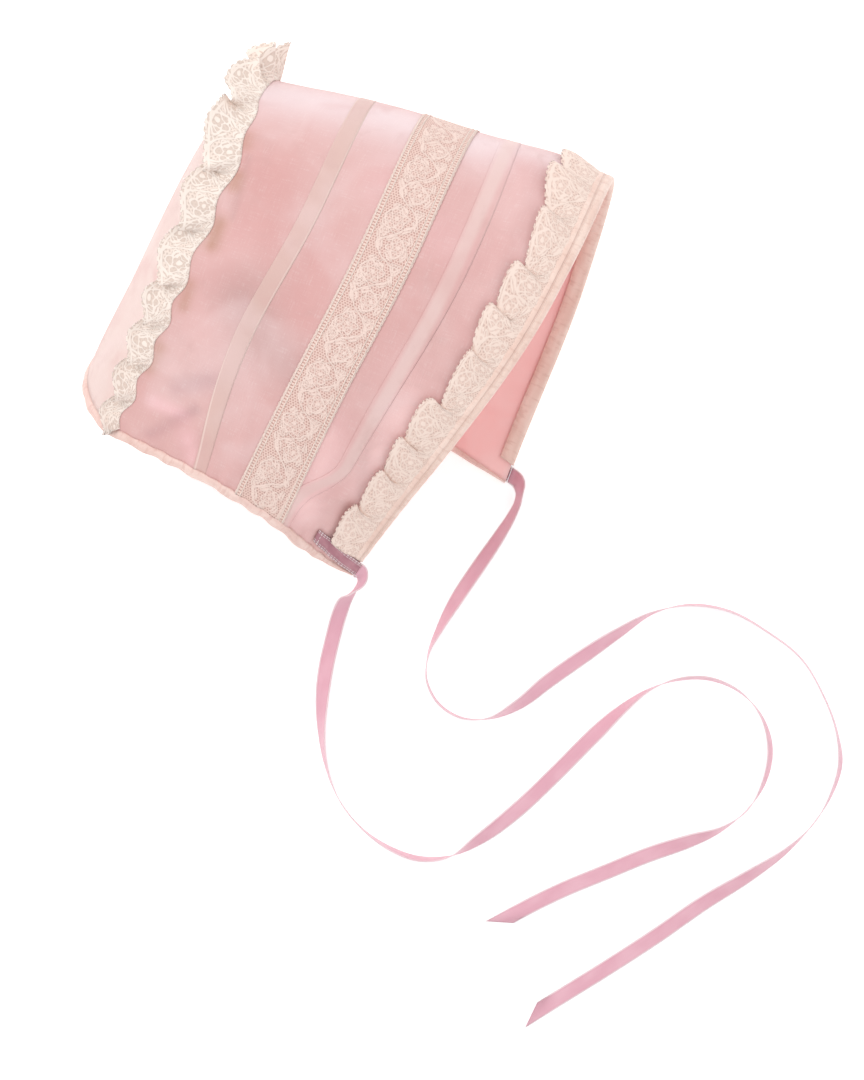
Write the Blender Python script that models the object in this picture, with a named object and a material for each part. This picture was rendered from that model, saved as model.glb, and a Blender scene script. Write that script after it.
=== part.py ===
"""Christening bonnet of sheer cloth over a pink lining, lying on its side with two loose ribbon ties."""

import math
from collections import namedtuple

import bmesh
import bpy
import numpy as np
from mathutils import Vector

Surface = namedtuple("Surface", "colour roughness")
SHEER_CLOTH = Surface((0.92, 0.70, 0.70), 0.6)
PINK_LINING = Surface((0.90, 0.48, 0.50), 0.7)
IVORY_LACE = Surface((0.84, 0.74, 0.66), 0.8)
IVORY_SATIN = Surface((0.82, 0.66, 0.58), 0.45)
PINK_SATIN = Surface((0.86, 0.50, 0.60), 0.35)
SHARP_ANGLE = math.radians(50)

# Driving sizes, in millimetres. The tables below are in millimetres too.
MM = 0.001
DEPTH = 141.0  # from the back seam to the face edge, measured over the crown
CLOTH = 1.0
GAP = 0.3
CLEAR = 0.1  # what doesn't carry the bonnet stays this high over the floor
TRIM = 0.6  # tucks, gathered lace and the ribbons
BAND = 0.7  # the lace band and the face binding, which rest on the floor
REST_HEIGHT = 1.0  # the cloth of the lower side lies this high, on its trimmings
NECK_BINDING_WIDTH = 3.2
NECK_BINDING_TIP = 1.0  # it narrows to this at the front corners, beside the ribbon ends
NECK_BINDING_OUT = 1.0
NECK_BINDING_IN = 2.6
FACE_BINDING_WIDTH = 5.2
FACE_BINDING_END = 7.6  # left free at each corner, where the ribbon ends are sewn
RIBBON_WIDTH = 6.35
TAB_LENGTH = 36.0
TAB_LIFT = 0.3  # the near end is sewn over the folds of the cloth
TAB_INSET = 0.5
TAB_OVER = 0.6  # how far it reaches past the face edge
BACK_BULGE = 22.0
BACK_STEPS = 10
BACK_FULLNESS = 0.85  # how soon the dome fills out below the crown
BACK_LEAN = 1.15  # over 1, it bulges most nearer the upper side
BACK_ROUNDNESS = 0.8  # under 1, it rises more steeply at its sides
BACK_HIGHEST = 0.97  # its slope is read no higher than this, where it narrows to nothing
BACK_RIM_SIDES, BACK_RIM_TOP = 8.0, 6.0  # near its rim the wall turns straight back this quickly
SIDE_LINING_START = 2.5
BACK_LINING_INSET = 3.2
BACK_LINING_ROWS = 13
BACK_LINING_START = 0.02  # just clear of the neck binding
NECK_CORNER = 5.0  # the neck binding rounds the back seam from this far on each side
BINDING_FOLD = 0.9  # the face binding's outer walls end this far short of the cloth's edge
BINDING_NOSE = 0.4  # how far past that edge its fold is still this close to the cloth's faces:
BINDING_NOSE_RISE = 0.1
BINDING_STEP = 0.04  # the least step round the head from its ends to its next ring

# Where the bonnet lies: its depth axis is turned clockwise from +X, seen from above.
TURN = math.radians(-17.4)
PLACE = (-30.142, 91.193)

# Each row is a line over the head at one depth. far, crown, shoulder, flank and near say how far
# forward it lies at five places round the head; the rest is the shape of the section there.
Section = namedtuple(
    "Section",
    "depth far crown shoulder flank near top height near_rise near_z far_rise droop",
)
SECTIONS = (
    Section(0.0, -6.0, 1.5, -9.5, -14.5, -19.5, 2.0, 84.0, -151.3, 60.0, -97.0, 0.30),
    Section(39.0, 31.0, 39.0, 32.9, 20.4, 19.3, 5.4, 90.0, -157.6, 66.0, -101.0, 0.40),
    Section(62.0, 54.0, 61.8, 55.5, 44.8, 35.0, 6.4, 93.0, -161.2, 66.0, -104.0, 0.45),
    Section(85.0, 78.0, 85.0, 78.5, 66.5, 57.0, 6.4, 95.0, -167.3, 58.0, -107.5, 0.50),
    Section(99.0, 93.0, 98.7, 95.0, 80.5, 65.5, 6.6, 95.0, -171.0, 47.0, -110.5, 0.52),
    Section(120.0, 115.0, 119.7, 115.0, 96.0, 77.5, 7.0, 94.5, -175.8, 36.0, -117.0, 0.54),
    Section(141.0, 137.3, 141.7, 134.0, 112.5, 88.8, 4.2, 94.0, -178.5, 27.0, -124.0, 0.54),
)
ROUND_PLACES = (0.0, 1.5, 2.0, 2.5, 3.0)
# How much of the upper side keeps the direction it has at the crown and at the neck edge.
CROWN_HOLD, EDGE_HOLD = 0.42, 0.36

# Soft folds of the upper side: place along the depth and round the head, size, and height.
Fold = namedtuple("Fold", "depth around long wide lift")
FOLDS = (
    Fold(22.0, 2.15, 16.0, 0.30, 1.6),
    Fold(50.0, 2.45, 12.0, 0.35, -1.8),
    Fold(14.0, 2.62, 10.0, 0.22, -1.5),
    Fold(34.0, 2.80, 12.0, 0.16, 1.4),
    Fold(108.0, 2.30, 14.0, 0.30, -1.2),
    Fold(96.0, 2.72, 9.0, 0.20, 1.5),
    Fold(118.0, 2.78, 9.0, 0.20, -1.3),
    Fold(70.0, 1.75, 25.0, 0.25, -0.9),
)
FOLDS_FROM, FOLDS_GROW = 1.2, 0.4  # the side on the floor has none

# Where the lines of the mesh run. Around the head 0 to 1 lies on the floor, 1 to 2 goes over the
# crown and 2 to 3 is the upper side.
FLAT_STEPS, CROWN_STEPS, SIDE_STEPS = 4, 14, 12
DEPTHS = (0.0, 9.0, 22.0, 36.0, 42.0, 51.0, 62.0, 73.5, 85.0, 95.0, 103.0, 116.0, 128.0, 135.5, 141.0)
REAR_TUCK = (36.0, 42.0)
LACE = (62.0, 73.5, 85.0)
FRONT_TUCK = (95.0, 103.0)

# The gathered lace on the back seam: how far round the head, its lean backwards and its height.
Frill = namedtuple("Frill", "around lean height wave")
SEAM_FRILL = (
    Frill(0.06, 88.0, 9.0, 0.0),
    Frill(1.00, 86.0, 9.0, 0.0),
    Frill(1.12, 70.0, 9.5, 0.2),
    Frill(1.28, 28.0, 11.0, 2.6),
    Frill(1.50, 6.0, 13.5, 4.0),
    Frill(1.70, 14.0, 14.0, 4.2),
    Frill(2.00, 20.0, 13.0, 3.6),
    Frill(2.30, 8.0, 11.5, 3.2),
    Frill(2.60, -6.0, 11.0, 3.0),
    Frill(2.95, -8.0, 10.0, 1.6),
)
SEAM_FRILL_WAVES = 21
SEAM_WAVE_STEPS = 6
SEAM_WAVE_START = 0.5  # radians
SEAM_WAVE_OPENING = 0.8  # under 1, the waves open out soon above the seam
SEAM_LEVELS = (0.0, 0.45, 1.0)
FACE_TEETH = 17
FACE_TOOTH_STEPS = 6
FACE_TOOTH_RISE = 0.2  # part of each tooth in which it widens
FACE_FRILL_BASE = 135.4
FACE_FRILL_SHORT, FACE_FRILL_LONG = 9.5, 17.5
FACE_FRILL_LIFT = 3.2
FACE_FRILL_LEAST = 0.25  # part of that lift between two teeth
FACE_FRILL_ROWS = (0.0, 0.5, 1.0)
FACE_FRILL_ARCH = 0.6  # of half a wave, from the binding to the free edge
FACE_FREE_FROM, FACE_FREE_GROW = 1.05, 0.3  # it lies flat where the bonnet lies on it

# The routes of the ties: place, height above the floor, and turn about its own length in degrees.
# A tie lies flat where its turn is 0 or 180 and stands on its edge where that is near 90.
Way = namedtuple("Way", "x y lift roll")
RIGHT_TIE = (
    Way(4.3, -108.2, 20.5, 60.0),
    Way(1.4, -112.7, 12.0, 92.0),
    Way(-2.0, -116.9, 5.0, 145.0),
    Way(-4.5, -122.9, 1.5, 172.0),
    Way(-7.0, -132.0, 0.0, 180.0),
    Way(-9.9, -144.7, 0.0, 188.0),
    Way(-11.5, -157.9, 0.0, 213.0),
    Way(-11.7, -170.3, 0.0, 240.0),
    Way(-9.9, -184.3, 0.0, 258.0),
    Way(-4.1, -199.5, 0.0, 268.0),
    Way(5.3, -211.0, 0.0, 271.0),
    Way(16.4, -218.8, 0.0, 282.0),
    Way(28.8, -223.1, 0.0, 286.0),
    Way(40.3, -222.3, 0.0, 272.0),
    Way(53.1, -215.1, 0.0, 222.0),
    Way(68.7, -203.2, 0.0, 188.0),
    Way(84.4, -188.4, 0.0, 178.0),
    Way(100.0, -172.7, 0.0, 165.0),
    Way(111.9, -161.6, 0.0, 125.0),
    Way(122.6, -153.8, 0.0, 97.0),
    Way(134.1, -149.5, 0.0, 80.0),
    Way(146.5, -148.9, 0.0, 77.0),
    Way(159.2, -153.8, 0.0, 84.0),
    Way(168.3, -163.3, 0.0, 98.0),
    Way(172.6, -177.7, 0.0, 112.0),
    Way(169.9, -192.1, 0.0, 108.0),
    Way(163.0, -203.2, 0.0, 92.0),
    Way(153.1, -210.6, 0.0, 108.0),
    Way(139.9, -215.7, 0.0, 150.0),
    Way(123.4, -221.3, 0.0, 175.0),
    Way(106.2, -228.3, 0.0, 180.0),
    Way(86.4, -236.5, 0.0, 182.0),
    Way(69.9, -244.7, 0.0, 181.0),
    Way(61.5, -249.3, 0.0, 180.0),
)
LEFT_TIE = (
    Way(69.3, -68.4, 0.0, 50.0),
    Way(69.7, -71.5, 0.0, 66.0),
    Way(68.9, -76.8, 0.0, 64.0),
    Way(66.2, -82.6, 0.0, 55.0),
    Way(60.9, -91.2, 0.0, 40.0),
    Way(52.7, -103.2, 0.0, 26.0),
    Way(44.4, -115.5, 0.0, 32.0),
    Way(37.0, -128.3, 0.0, 62.0),
    Way(32.1, -139.4, 0.0, 86.0),
    Way(31.5, -149.7, 0.0, 94.0),
    Way(36.2, -159.1, 0.0, 96.0),
    Way(45.7, -165.1, 0.0, 94.0),
    Way(56.4, -165.5, 0.0, 84.0),
    Way(68.7, -160.0, 0.0, 48.0),
    Way(81.5, -150.1, 0.0, 20.0),
    Way(95.5, -140.2, 0.0, 20.0),
    Way(110.3, -130.3, 0.0, 48.0),
    Way(124.3, -122.1, 0.0, 80.0),
    Way(139.9, -118.8, 0.0, 96.0),
    Way(156.4, -121.5, 0.0, 97.0),
    Way(171.6, -129.9, 0.0, 96.0),
    Way(185.2, -140.6, 0.0, 96.0),
    Way(194.2, -155.4, 0.0, 97.0),
    Way(200.0, -171.1, 0.0, 100.0),
    Way(201.4, -184.3, 0.0, 109.0),
    Way(197.9, -196.2, 0.0, 104.0),
    Way(190.5, -208.5, 0.0, 94.0),
    Way(179.4, -219.6, 0.0, 112.0),
    Way(165.0, -229.5, 0.0, 140.0),
    Way(145.3, -241.5, 0.0, 165.0),
    Way(125.9, -255.0, 0.0, 176.0),
    Way(106.2, -267.8, 0.0, 180.0),
    Way(86.4, -280.1, 0.0, 180.0),
    Way(74.5, -287.5, 0.0, 180.0),
)
TIE_STEPS = 64
TIE_TWIST_STEPS = 8
TIE_CUT = 5.0  # half of what the slanting cut adds along the tie
TIE_LEAVE = 1.2  # runs on straight from the sewn end for this long
TIE_BEND = 7.0  # has left the direction of the sewn end after this
TIE_TWIST = 16.0  # and has left its slant after this


def smooth(places, values, x):
    """A smooth curve through the values at the places, read at x."""
    places = np.asarray(places, float)
    values = np.asarray(values, float)
    if values.ndim == 1:
        return smooth(places, values[:, None], x)[..., 0]
    step = np.diff(places)
    slope = np.diff(values, axis=0) / step[:, None]
    before, after = step[:-1, None], step[1:, None]
    middle = (slope[:-1] * after + slope[1:] * before) / (before + after)
    tangent = np.concatenate([slope[:1], middle, slope[-1:]])
    x = np.clip(np.asarray(x, float), places[0], places[-1])
    i = np.clip(np.searchsorted(places, x, side="right") - 1, 0, len(step) - 1)
    h = step[i][..., None]
    t = (x - places[i])[..., None] / h
    return (
        (1 + 2 * t) * (1 - t) ** 2 * values[i]
        + t * (1 - t) ** 2 * h * tangent[i]
        + t**2 * (3 - 2 * t) * values[i + 1]
        + t**2 * (t - 1) * h * tangent[i + 1]
    )


def ease(share):
    """A smooth step from 0 to 1."""
    share = np.clip(share, 0, 1)
    return share**2 * (3 - 2 * share)


def cloth_base(depth, around):
    """The outer face of the side cloth before its folds: forward, rise and height."""
    depth, around = np.broadcast_arrays(np.asarray(depth, float), np.asarray(around, float))
    rows = smooth([row.depth for row in SECTIONS], [row[1:] for row in SECTIONS], depth)
    far, crown, shoulder, flank, near, top, height, near_rise, near_z, far_rise, droop = (
        rows[..., i] for i in range(rows.shape[-1])
    )
    radius = height / 2
    middle = top - radius
    flat = np.clip(around, 0, 1)
    turn = np.clip(around - 1, 0, 1) * math.pi
    side = np.clip(around - 2, 0, 1)
    rise = np.where(around < 1, far_rise + (middle - far_rise) * flat, middle + radius * np.sin(turn))
    up = REST_HEIGHT + radius * (1 - np.cos(turn))
    # The upper side is a Bezier curve from the top of the crown down to the neck edge.
    reach = np.hypot(middle - near_rise, REST_HEIGHT + height - near_z)
    leave, arrive = reach * CROWN_HOLD, reach * EDGE_HOLD
    rises = (middle, middle - leave, near_rise + arrive * np.cos(droop), near_rise)
    ups = (REST_HEIGHT + height, REST_HEIGHT + height, near_z + arrive * np.sin(droop), near_z)
    weights = ((1 - side) ** 3, 3 * side * (1 - side) ** 2, 3 * side**2 * (1 - side), side**3)
    over = around > 2
    rise = np.where(over, sum(w * p for w, p in zip(weights, rises)), rise)
    up = np.where(over, sum(w * p for w, p in zip(weights, ups)), up)
    # How far forward: straight along the floor, then smoothly over the crown to the near edge.
    forward = np.zeros_like(depth)
    marks = (far, crown, shoulder, flank, near)
    for i, value in enumerate(marks):
        unit = np.eye(len(marks))[i]
        forward = forward + value * smooth(ROUND_PLACES, unit, around)
    return np.stack([forward, rise, up], axis=-1)


def normals(surface, depth, around):
    """Unit vectors out of a surface of depth and place round the head."""
    small_depth, small_around = 0.5, 0.004
    low, high = np.maximum(around - small_around, 0), np.minimum(around + small_around, 3)
    along = surface(depth, high) - surface(depth, low)
    back, front = np.maximum(depth - small_depth, 0), np.minimum(depth + small_depth, DEPTH)
    forward = surface(front, around) - surface(back, around)
    out = np.cross(along, forward)
    return out / np.linalg.norm(out, axis=-1, keepdims=True)


def cloth(depth, around):
    """The outer face of the side cloth with its folds."""
    depth, around = np.broadcast_arrays(np.asarray(depth, float), np.asarray(around, float))
    lift = sum(
        fold.lift
        * np.exp(-(((depth - fold.depth) / fold.long) ** 2))
        * np.exp(-(((around - fold.around) / fold.wide) ** 2))
        for fold in FOLDS
    )
    lift = lift * np.clip((around - FOLDS_FROM) / FOLDS_GROW, 0, 1)
    return cloth_base(depth, around) + lift[..., None] * normals(cloth_base, depth, around)


def layer(depth, around, offset):
    """Points off the outer face of the side cloth. A depth past an edge runs straight on."""
    depth, around, offset = np.broadcast_arrays(
        np.asarray(depth, float), np.asarray(around, float), np.asarray(offset, float)
    )
    inside = np.clip(depth, 0, DEPTH)
    small = 1.0
    ahead, behind = np.clip(inside + small, 0, DEPTH), np.clip(inside - small, 0, DEPTH)
    forward = cloth(ahead, around) - cloth(behind, around)
    forward = forward / np.linalg.norm(forward, axis=-1, keepdims=True)
    out = normals(cloth, inside, around)
    return cloth(inside, around) + out * offset[..., None] + forward * (depth - inside)[..., None]


def place(points):
    """Bonnet millimetres to world metres."""
    points = np.asarray(points, float)
    forward, rise = points[..., 0], points[..., 1]
    x = forward * math.cos(TURN) - rise * math.sin(TURN) + PLACE[0]
    y = forward * math.sin(TURN) + rise * math.cos(TURN) + PLACE[1]
    return np.stack([x, y, points[..., 2]], axis=-1) * MM


def material(name, surface):
    """A material of a piece's own, from its colour and roughness."""
    made = bpy.data.materials.new(name)
    made.use_nodes = True
    shader = made.node_tree.nodes["Principled BSDF"]
    shader.inputs["Base Color"].default_value = (*surface.colour, 1)
    shader.inputs["Roughness"].default_value = surface.roughness
    shader.inputs["Metallic"].default_value = 0.0
    return made


def sheet(bm, points):
    """A grid of faces on an array of points, rows by columns."""
    rows, columns = points.shape[:2]
    made = bmesh.ops.create_grid(bm, x_segments=rows - 1, y_segments=columns - 1, size=1)
    for vert in made["verts"]:
        row = round((vert.co.x + 1) / 2 * (rows - 1))
        column = round((vert.co.y + 1) / 2 * (columns - 1))
        vert.co = Vector(points[row, column])


def finish(bm, name, surface):
    """Closes what is left open, turns the faces outwards and makes the object."""
    bmesh.ops.remove_doubles(bm, verts=bm.verts, dist=1e-7)
    bmesh.ops.dissolve_degenerate(bm, edges=bm.edges, dist=1e-7)
    bmesh.ops.holes_fill(bm, edges=[edge for edge in bm.edges if edge.is_boundary])
    bmesh.ops.recalc_face_normals(bm, faces=bm.faces)
    if bm.calc_volume(signed=True) < 0:
        bmesh.ops.reverse_faces(bm, faces=bm.faces)
    mesh = bpy.data.meshes.new(name)
    bm.to_mesh(mesh)
    bm.free()
    mesh.shade_smooth()
    mesh.set_sharp_from_angle(angle=SHARP_ANGLE)
    mesh.materials.append(material(f"{name}_cloth", surface))
    made = bpy.data.objects.new(name, mesh)
    bpy.context.scene.collection.objects.link(made)
    return made


def shell(name, outer, inner, surface):
    """A closed sheet of cloth between two arrays of points, in world metres."""
    bm = bmesh.new()
    sheet(bm, outer)
    sheet(bm, inner)
    # Both walls are split along the same diagonals, so that they stay apart where the cloth twists.
    bmesh.ops.triangulate(bm, faces=bm.faces, quad_method="FIXED")
    bmesh.ops.bridge_loops(bm, edges=[edge for edge in bm.edges if edge.is_boundary])
    return finish(bm, name, surface)


def rod(name, rings, surface):
    """A solid through a row of closed rings of points, in world metres."""
    bm = bmesh.new()
    sheet(bm, np.concatenate([rings, rings[:, :1]], axis=1))
    return finish(bm, name, surface)


def around_lines():
    """Where the mesh's lines cross the head: along the floor, over the crown, down the near side."""
    flat = np.linspace(0, 1, FLAT_STEPS + 1)
    crown = np.linspace(1, 2, CROWN_STEPS + 1)[1:]
    side = np.linspace(2, 3, SIDE_STEPS + 1)[1:]
    return np.concatenate([flat, crown, side])


def strip(name, depths, low, high, surface):
    """A band over the whole head between two offsets from the side cloth's outer face."""
    around, depth = np.meshgrid(around_lines(), np.asarray(depths, float), indexing="ij")
    return shell(name, place(layer(depth, around, high)), place(layer(depth, around, low)), surface)


def back_cloth(row, across):
    """The dome of the back panel. Row 0 is the neck edge and 1 the crown, across 0 to 1 far to near."""
    lines = around_lines()
    row, across = np.broadcast_arrays(np.asarray(row, float), np.asarray(across, float))
    half = (len(lines) - 1) / 2
    index = np.arange(len(lines))
    far = cloth(0.0, np.interp(row * half, index, lines))
    near = cloth(0.0, np.interp(2 * half - row * half, index, lines))
    open_at = np.clip(1 - row**2, 0, 1) ** BACK_FULLNESS
    swell = BACK_BULGE * open_at * np.sin(math.pi * across**BACK_LEAN) ** BACK_ROUNDNESS
    mid = far + (near - far) * across[..., None]
    return mid - swell[..., None] * np.array([1.0, 0.0, 0.0])


def back_layer(row, across, offset):
    """Points off the outer face of the back panel, kept clear of the side cloth at its rim."""
    row, across, offset = np.broadcast_arrays(
        np.asarray(row, float), np.asarray(across, float), np.asarray(offset, float)
    )
    small = 0.01
    above = np.clip(row + small, 0, BACK_HIGHEST)
    below = np.clip(row - small, 0, BACK_HIGHEST - 2 * small)
    up = back_cloth(above, across) - back_cloth(below, across)
    over = back_cloth(row, np.clip(across + small, 0, 1)) - back_cloth(row, np.clip(across - small, 0, 1))
    out = np.cross(over, up)
    length = np.linalg.norm(out, axis=-1, keepdims=True)
    straight_back = np.array([-1.0, 0.0, 0.0])
    out = np.where(length > 1e-9, out / np.maximum(length, 1e-9), straight_back)
    edge = np.minimum(np.minimum(across, 1 - across) * BACK_RIM_SIDES, (1 - row) * BACK_RIM_TOP)
    edge = np.clip(edge, 0, 1)[..., None]
    out = out * edge + straight_back * (1 - edge)
    out = out / np.linalg.norm(out, axis=-1, keepdims=True)
    behind = straight_back * (CLOTH + GAP)
    return back_cloth(row, across) + behind + out * offset[..., None]


def back_lines(rows):
    """Where lines cross the back panel at each row: evenly, and a little inside both seams."""
    chord = np.linalg.norm(back_cloth(rows, 1.0) - back_cloth(rows, 0.0), axis=-1)
    step = 1 / BACK_STEPS
    inset = np.minimum(BACK_LINING_INSET / np.maximum(chord, BACK_LINING_INSET), step * 0.9)
    even = np.linspace(step, 1 - step, BACK_STEPS - 1)
    return np.array([[0, drawn, *even, 1 - drawn, 1] for drawn in inset])


def back_shell(name, last_row, inside, low, high, surface):
    """A wall of the back panel's dome. Its first and last lines follow the seam, or lie inside it."""
    half = (len(around_lines()) - 1) // 2
    rows = np.arange(last_row + 1) / half
    across = back_lines(rows)
    if inside:
        across = across[:, 1:-1]
        rows[0] = BACK_LINING_START
    row = rows[:, None]
    outer, inner = back_layer(row, across, high), back_layer(row, across, low)
    return shell(name, place(outer), place(inner), surface)


def around_inside(depth, near_edge, distance):
    """The place round the head that lies a distance inside the far or the near neck edge."""
    around = np.linspace(2.0, 3.0, 200) if near_edge else np.linspace(1.0, 0.0, 200)
    points = cloth(depth, around)
    length = np.cumsum(np.linalg.norm(np.diff(points, axis=0), axis=-1))
    from_edge = length[-1] - np.concatenate([[0], length])
    return float(np.interp(distance, from_edge[::-1], around[::-1]))


def evenly_around(depth, start, end, count):
    """Places round the head that are evenly spaced over the cloth at a depth."""
    around = np.linspace(start, end, 400)
    points = cloth(depth, around)
    length = np.concatenate([[0], np.cumsum(np.linalg.norm(np.diff(points, axis=0), axis=-1))])
    return np.interp(np.linspace(0, length[-1], count), length, around)


def make_face_binding(surface):
    """The satin binding folded over the face edge, open at both front corners."""
    back, front, wall = DEPTH - FACE_BINDING_WIDTH, DEPTH + GAP, BAND
    inner_face = -2 * CLOTH - GAP
    turn, nose, rise = front - BINDING_FOLD, front + BINDING_NOSE, BINDING_NOSE_RISE
    profile = (
        (back, GAP),
        (back, GAP + wall),
        (turn, GAP + wall),
        (nose, rise),
        (front + wall, inner_face / 2),
        (nose, inner_face - rise),
        (turn, inner_face - GAP - wall),
        (back, inner_face - GAP - wall),
        (back, inner_face - GAP),
        (front, inner_face - GAP),
        (front, GAP),
    )
    start = around_inside(DEPTH, False, FACE_BINDING_END)
    end = around_inside(DEPTH, True, FACE_BINDING_END)
    lines = around_lines()
    between = lines[(lines > start + BINDING_STEP) & (lines < end - BINDING_STEP)]
    around = np.concatenate([[start], between, [end]])
    depth, offset = np.array(profile).T
    rings = place(layer(depth[None, :], around[:, None], offset[None, :]))
    return rod("face_binding", rings, surface)


def neck_frames():
    """Points of the neck edge with the directions out of the cloth's edge and out of its face."""
    middle = (NECK_BINDING_OUT - NECK_BINDING_IN) / 2
    ahead = np.array([d for d in DEPTHS if d > NECK_CORNER])
    ahead = np.concatenate([[NECK_CORNER], ahead])
    small_across = 0.01
    across = np.clip(back_lines(np.zeros(1))[0], small_across, 1 - small_across)
    small = 0.02
    far = layer(ahead[::-1], 0.0, middle)
    far_out = cloth(ahead[::-1], 0.0) - cloth(ahead[::-1], small)
    far_face = normals(cloth, ahead[::-1], np.zeros_like(ahead))
    back = back_layer(0.0, across, middle)
    back_out = back_cloth(0.0, across) - back_cloth(small, across)
    back_face = back_layer(0.0, across, 1.0) - back_layer(0.0, across, 0.0)
    near = layer(ahead, 3.0, middle)
    near_out = cloth(ahead, 3.0) - cloth(ahead, 3.0 - small)
    near_face = normals(cloth, ahead, np.full_like(ahead, 3.0))
    points = np.concatenate([far, back, near])
    out = np.concatenate([far_out, back_out, near_out])
    face = np.concatenate([far_face, back_face, near_face])
    depth = np.concatenate([ahead[::-1], np.zeros(len(across)), ahead])
    return points, out / np.linalg.norm(out, axis=-1, keepdims=True), face, depth


def make_neck_binding(surface):
    """The binding on the neck edge, from one front corner round the back to the other."""
    points, out, outer, depth = neck_frames()
    tip = np.clip((depth - DEPTH + TAB_LENGTH) / TAB_LENGTH, 0, 1)[:, None]
    wide = NECK_BINDING_WIDTH + (NECK_BINDING_TIP - NECK_BINDING_WIDTH) * tip
    along = np.gradient(points, axis=0)
    along = along / np.linalg.norm(along, axis=-1, keepdims=True)
    out = out - along * np.sum(out * along, axis=-1, keepdims=True)
    out = out / np.linalg.norm(out, axis=-1, keepdims=True)
    face = np.cross(out, along)
    face = face * np.sign(np.sum(face * outer, axis=-1, keepdims=True))
    high = (NECK_BINDING_OUT + NECK_BINDING_IN) / 2
    # Across the binding: parts of its width and of its half height.
    profile = ((0.0, 1.0), (0.7, 1.0), (1.0, 0.5), (1.0, -0.5), (0.7, -1.0), (0.0, -1.0))
    rings = np.stack([points + out * (GAP + w * wide) + face * (h * high) for w, h in profile], axis=1)
    rings[..., 2] = np.maximum(rings[..., 2], 0)
    return rod("neck_binding", place(rings), surface)


def make_face_frill(surface):
    """The gathered lace folded back from the face binding, with a saw-toothed free edge."""
    count = FACE_TEETH * FACE_TOOTH_STEPS + 1
    start = around_inside(DEPTH, False, FACE_BINDING_END)
    end = around_inside(DEPTH, True, FACE_BINDING_END)
    around = evenly_around(FACE_FRILL_BASE, start, end, count)
    tooth = np.arange(count) / FACE_TOOTH_STEPS
    within = tooth % 1.0
    # Each tooth widens at once and narrows slowly towards the near corner.
    widening, rise = within / FACE_TOOTH_RISE, FACE_TOOTH_RISE
    wide = np.where(within < rise, widening, 1 - (within - rise) / (1 - rise))
    reach = FACE_FRILL_SHORT + (FACE_FRILL_LONG - FACE_FRILL_SHORT) * wide
    raised = np.clip((around - FACE_FREE_FROM) / FACE_FREE_GROW, 0, 1)
    lift = FACE_FRILL_LIFT * raised * (FACE_FRILL_LEAST + (1 - FACE_FRILL_LEAST) * wide)
    rows = np.array(FACE_FRILL_ROWS)
    arch = np.sin(rows * math.pi * FACE_FRILL_ARCH)
    depth = FACE_FRILL_BASE - rows[None, :] * reach[:, None]
    offset = GAP + raised[:, None] * GAP + lift[:, None] * arch[None, :]
    low = layer(depth, around[:, None], offset)
    high = layer(depth, around[:, None], offset + TRIM)
    return shell("face_ruffle", place(high), place(low), surface)


def make_seam_frill(surface):
    """The gathered lace that stands on the seam between the side and the back."""
    count = SEAM_FRILL_WAVES * SEAM_WAVE_STEPS + 1
    places = [frill.around for frill in SEAM_FRILL]
    around = evenly_around(0.0, places[0], places[-1], count)
    rows = smooth(places, [frill[1:] for frill in SEAM_FRILL], around)
    lean, height, wave = np.radians(rows[:, 0]), rows[:, 1], rows[:, 2]
    out = normals(cloth, np.zeros(count), around)
    backward = cloth(0.0, around) - cloth(1.0, around)
    backward = backward / np.linalg.norm(backward, axis=-1, keepdims=True)
    up = out * np.cos(lean)[:, None] + backward * np.sin(lean)[:, None]
    sideways = backward * np.cos(lean)[:, None] - out * np.sin(lean)[:, None]
    foot = layer(0.0, around, GAP) + out * (np.sin(lean) * TRIM / 2)[:, None]
    turns = np.arange(count) / SEAM_WAVE_STEPS
    swing = np.sin(2 * math.pi * turns + SEAM_WAVE_START) * np.clip(wave, 0, None)
    levels = np.array(SEAM_LEVELS)
    sway = swing[:, None] * levels[None, :] ** SEAM_WAVE_OPENING
    middle = (
        foot[:, None, :]
        + up[:, None, :] * (height[:, None] * levels)[..., None]
        - sideways[:, None, :] * sway[..., None]
    )
    thick = sideways[:, None, :] * (TRIM / 2)
    middle[..., 2] = np.maximum(middle[..., 2], CLEAR + np.abs(thick[..., 2]))
    return shell("seam_ruffle", place(middle + thick), place(middle - thick), surface)


def tab_faces(near_edge):
    """Where the end of a tie is sewn along the neck edge at a front corner: its two faces."""
    depths = np.linspace(DEPTH + TAB_OVER - TAB_LENGTH, DEPTH + TAB_OVER, 5)
    edge, inner = TAB_INSET, TAB_INSET + RIBBON_WIDTH
    places = [[around_inside(min(d, DEPTH), near_edge, x) for x in (edge, inner)] for d in depths]
    around = np.array(places)
    lift = TAB_LIFT if near_edge else 0.0
    depth = np.broadcast_to(depths[:, None], around.shape)
    return layer(depth, around, GAP + lift), layer(depth, around, GAP + lift + TRIM)


def make_tab(name, near_edge, surface):
    """The sewn end of a tie."""
    low, high = tab_faces(near_edge)
    return shell(name, place(high), place(low), surface)


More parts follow.
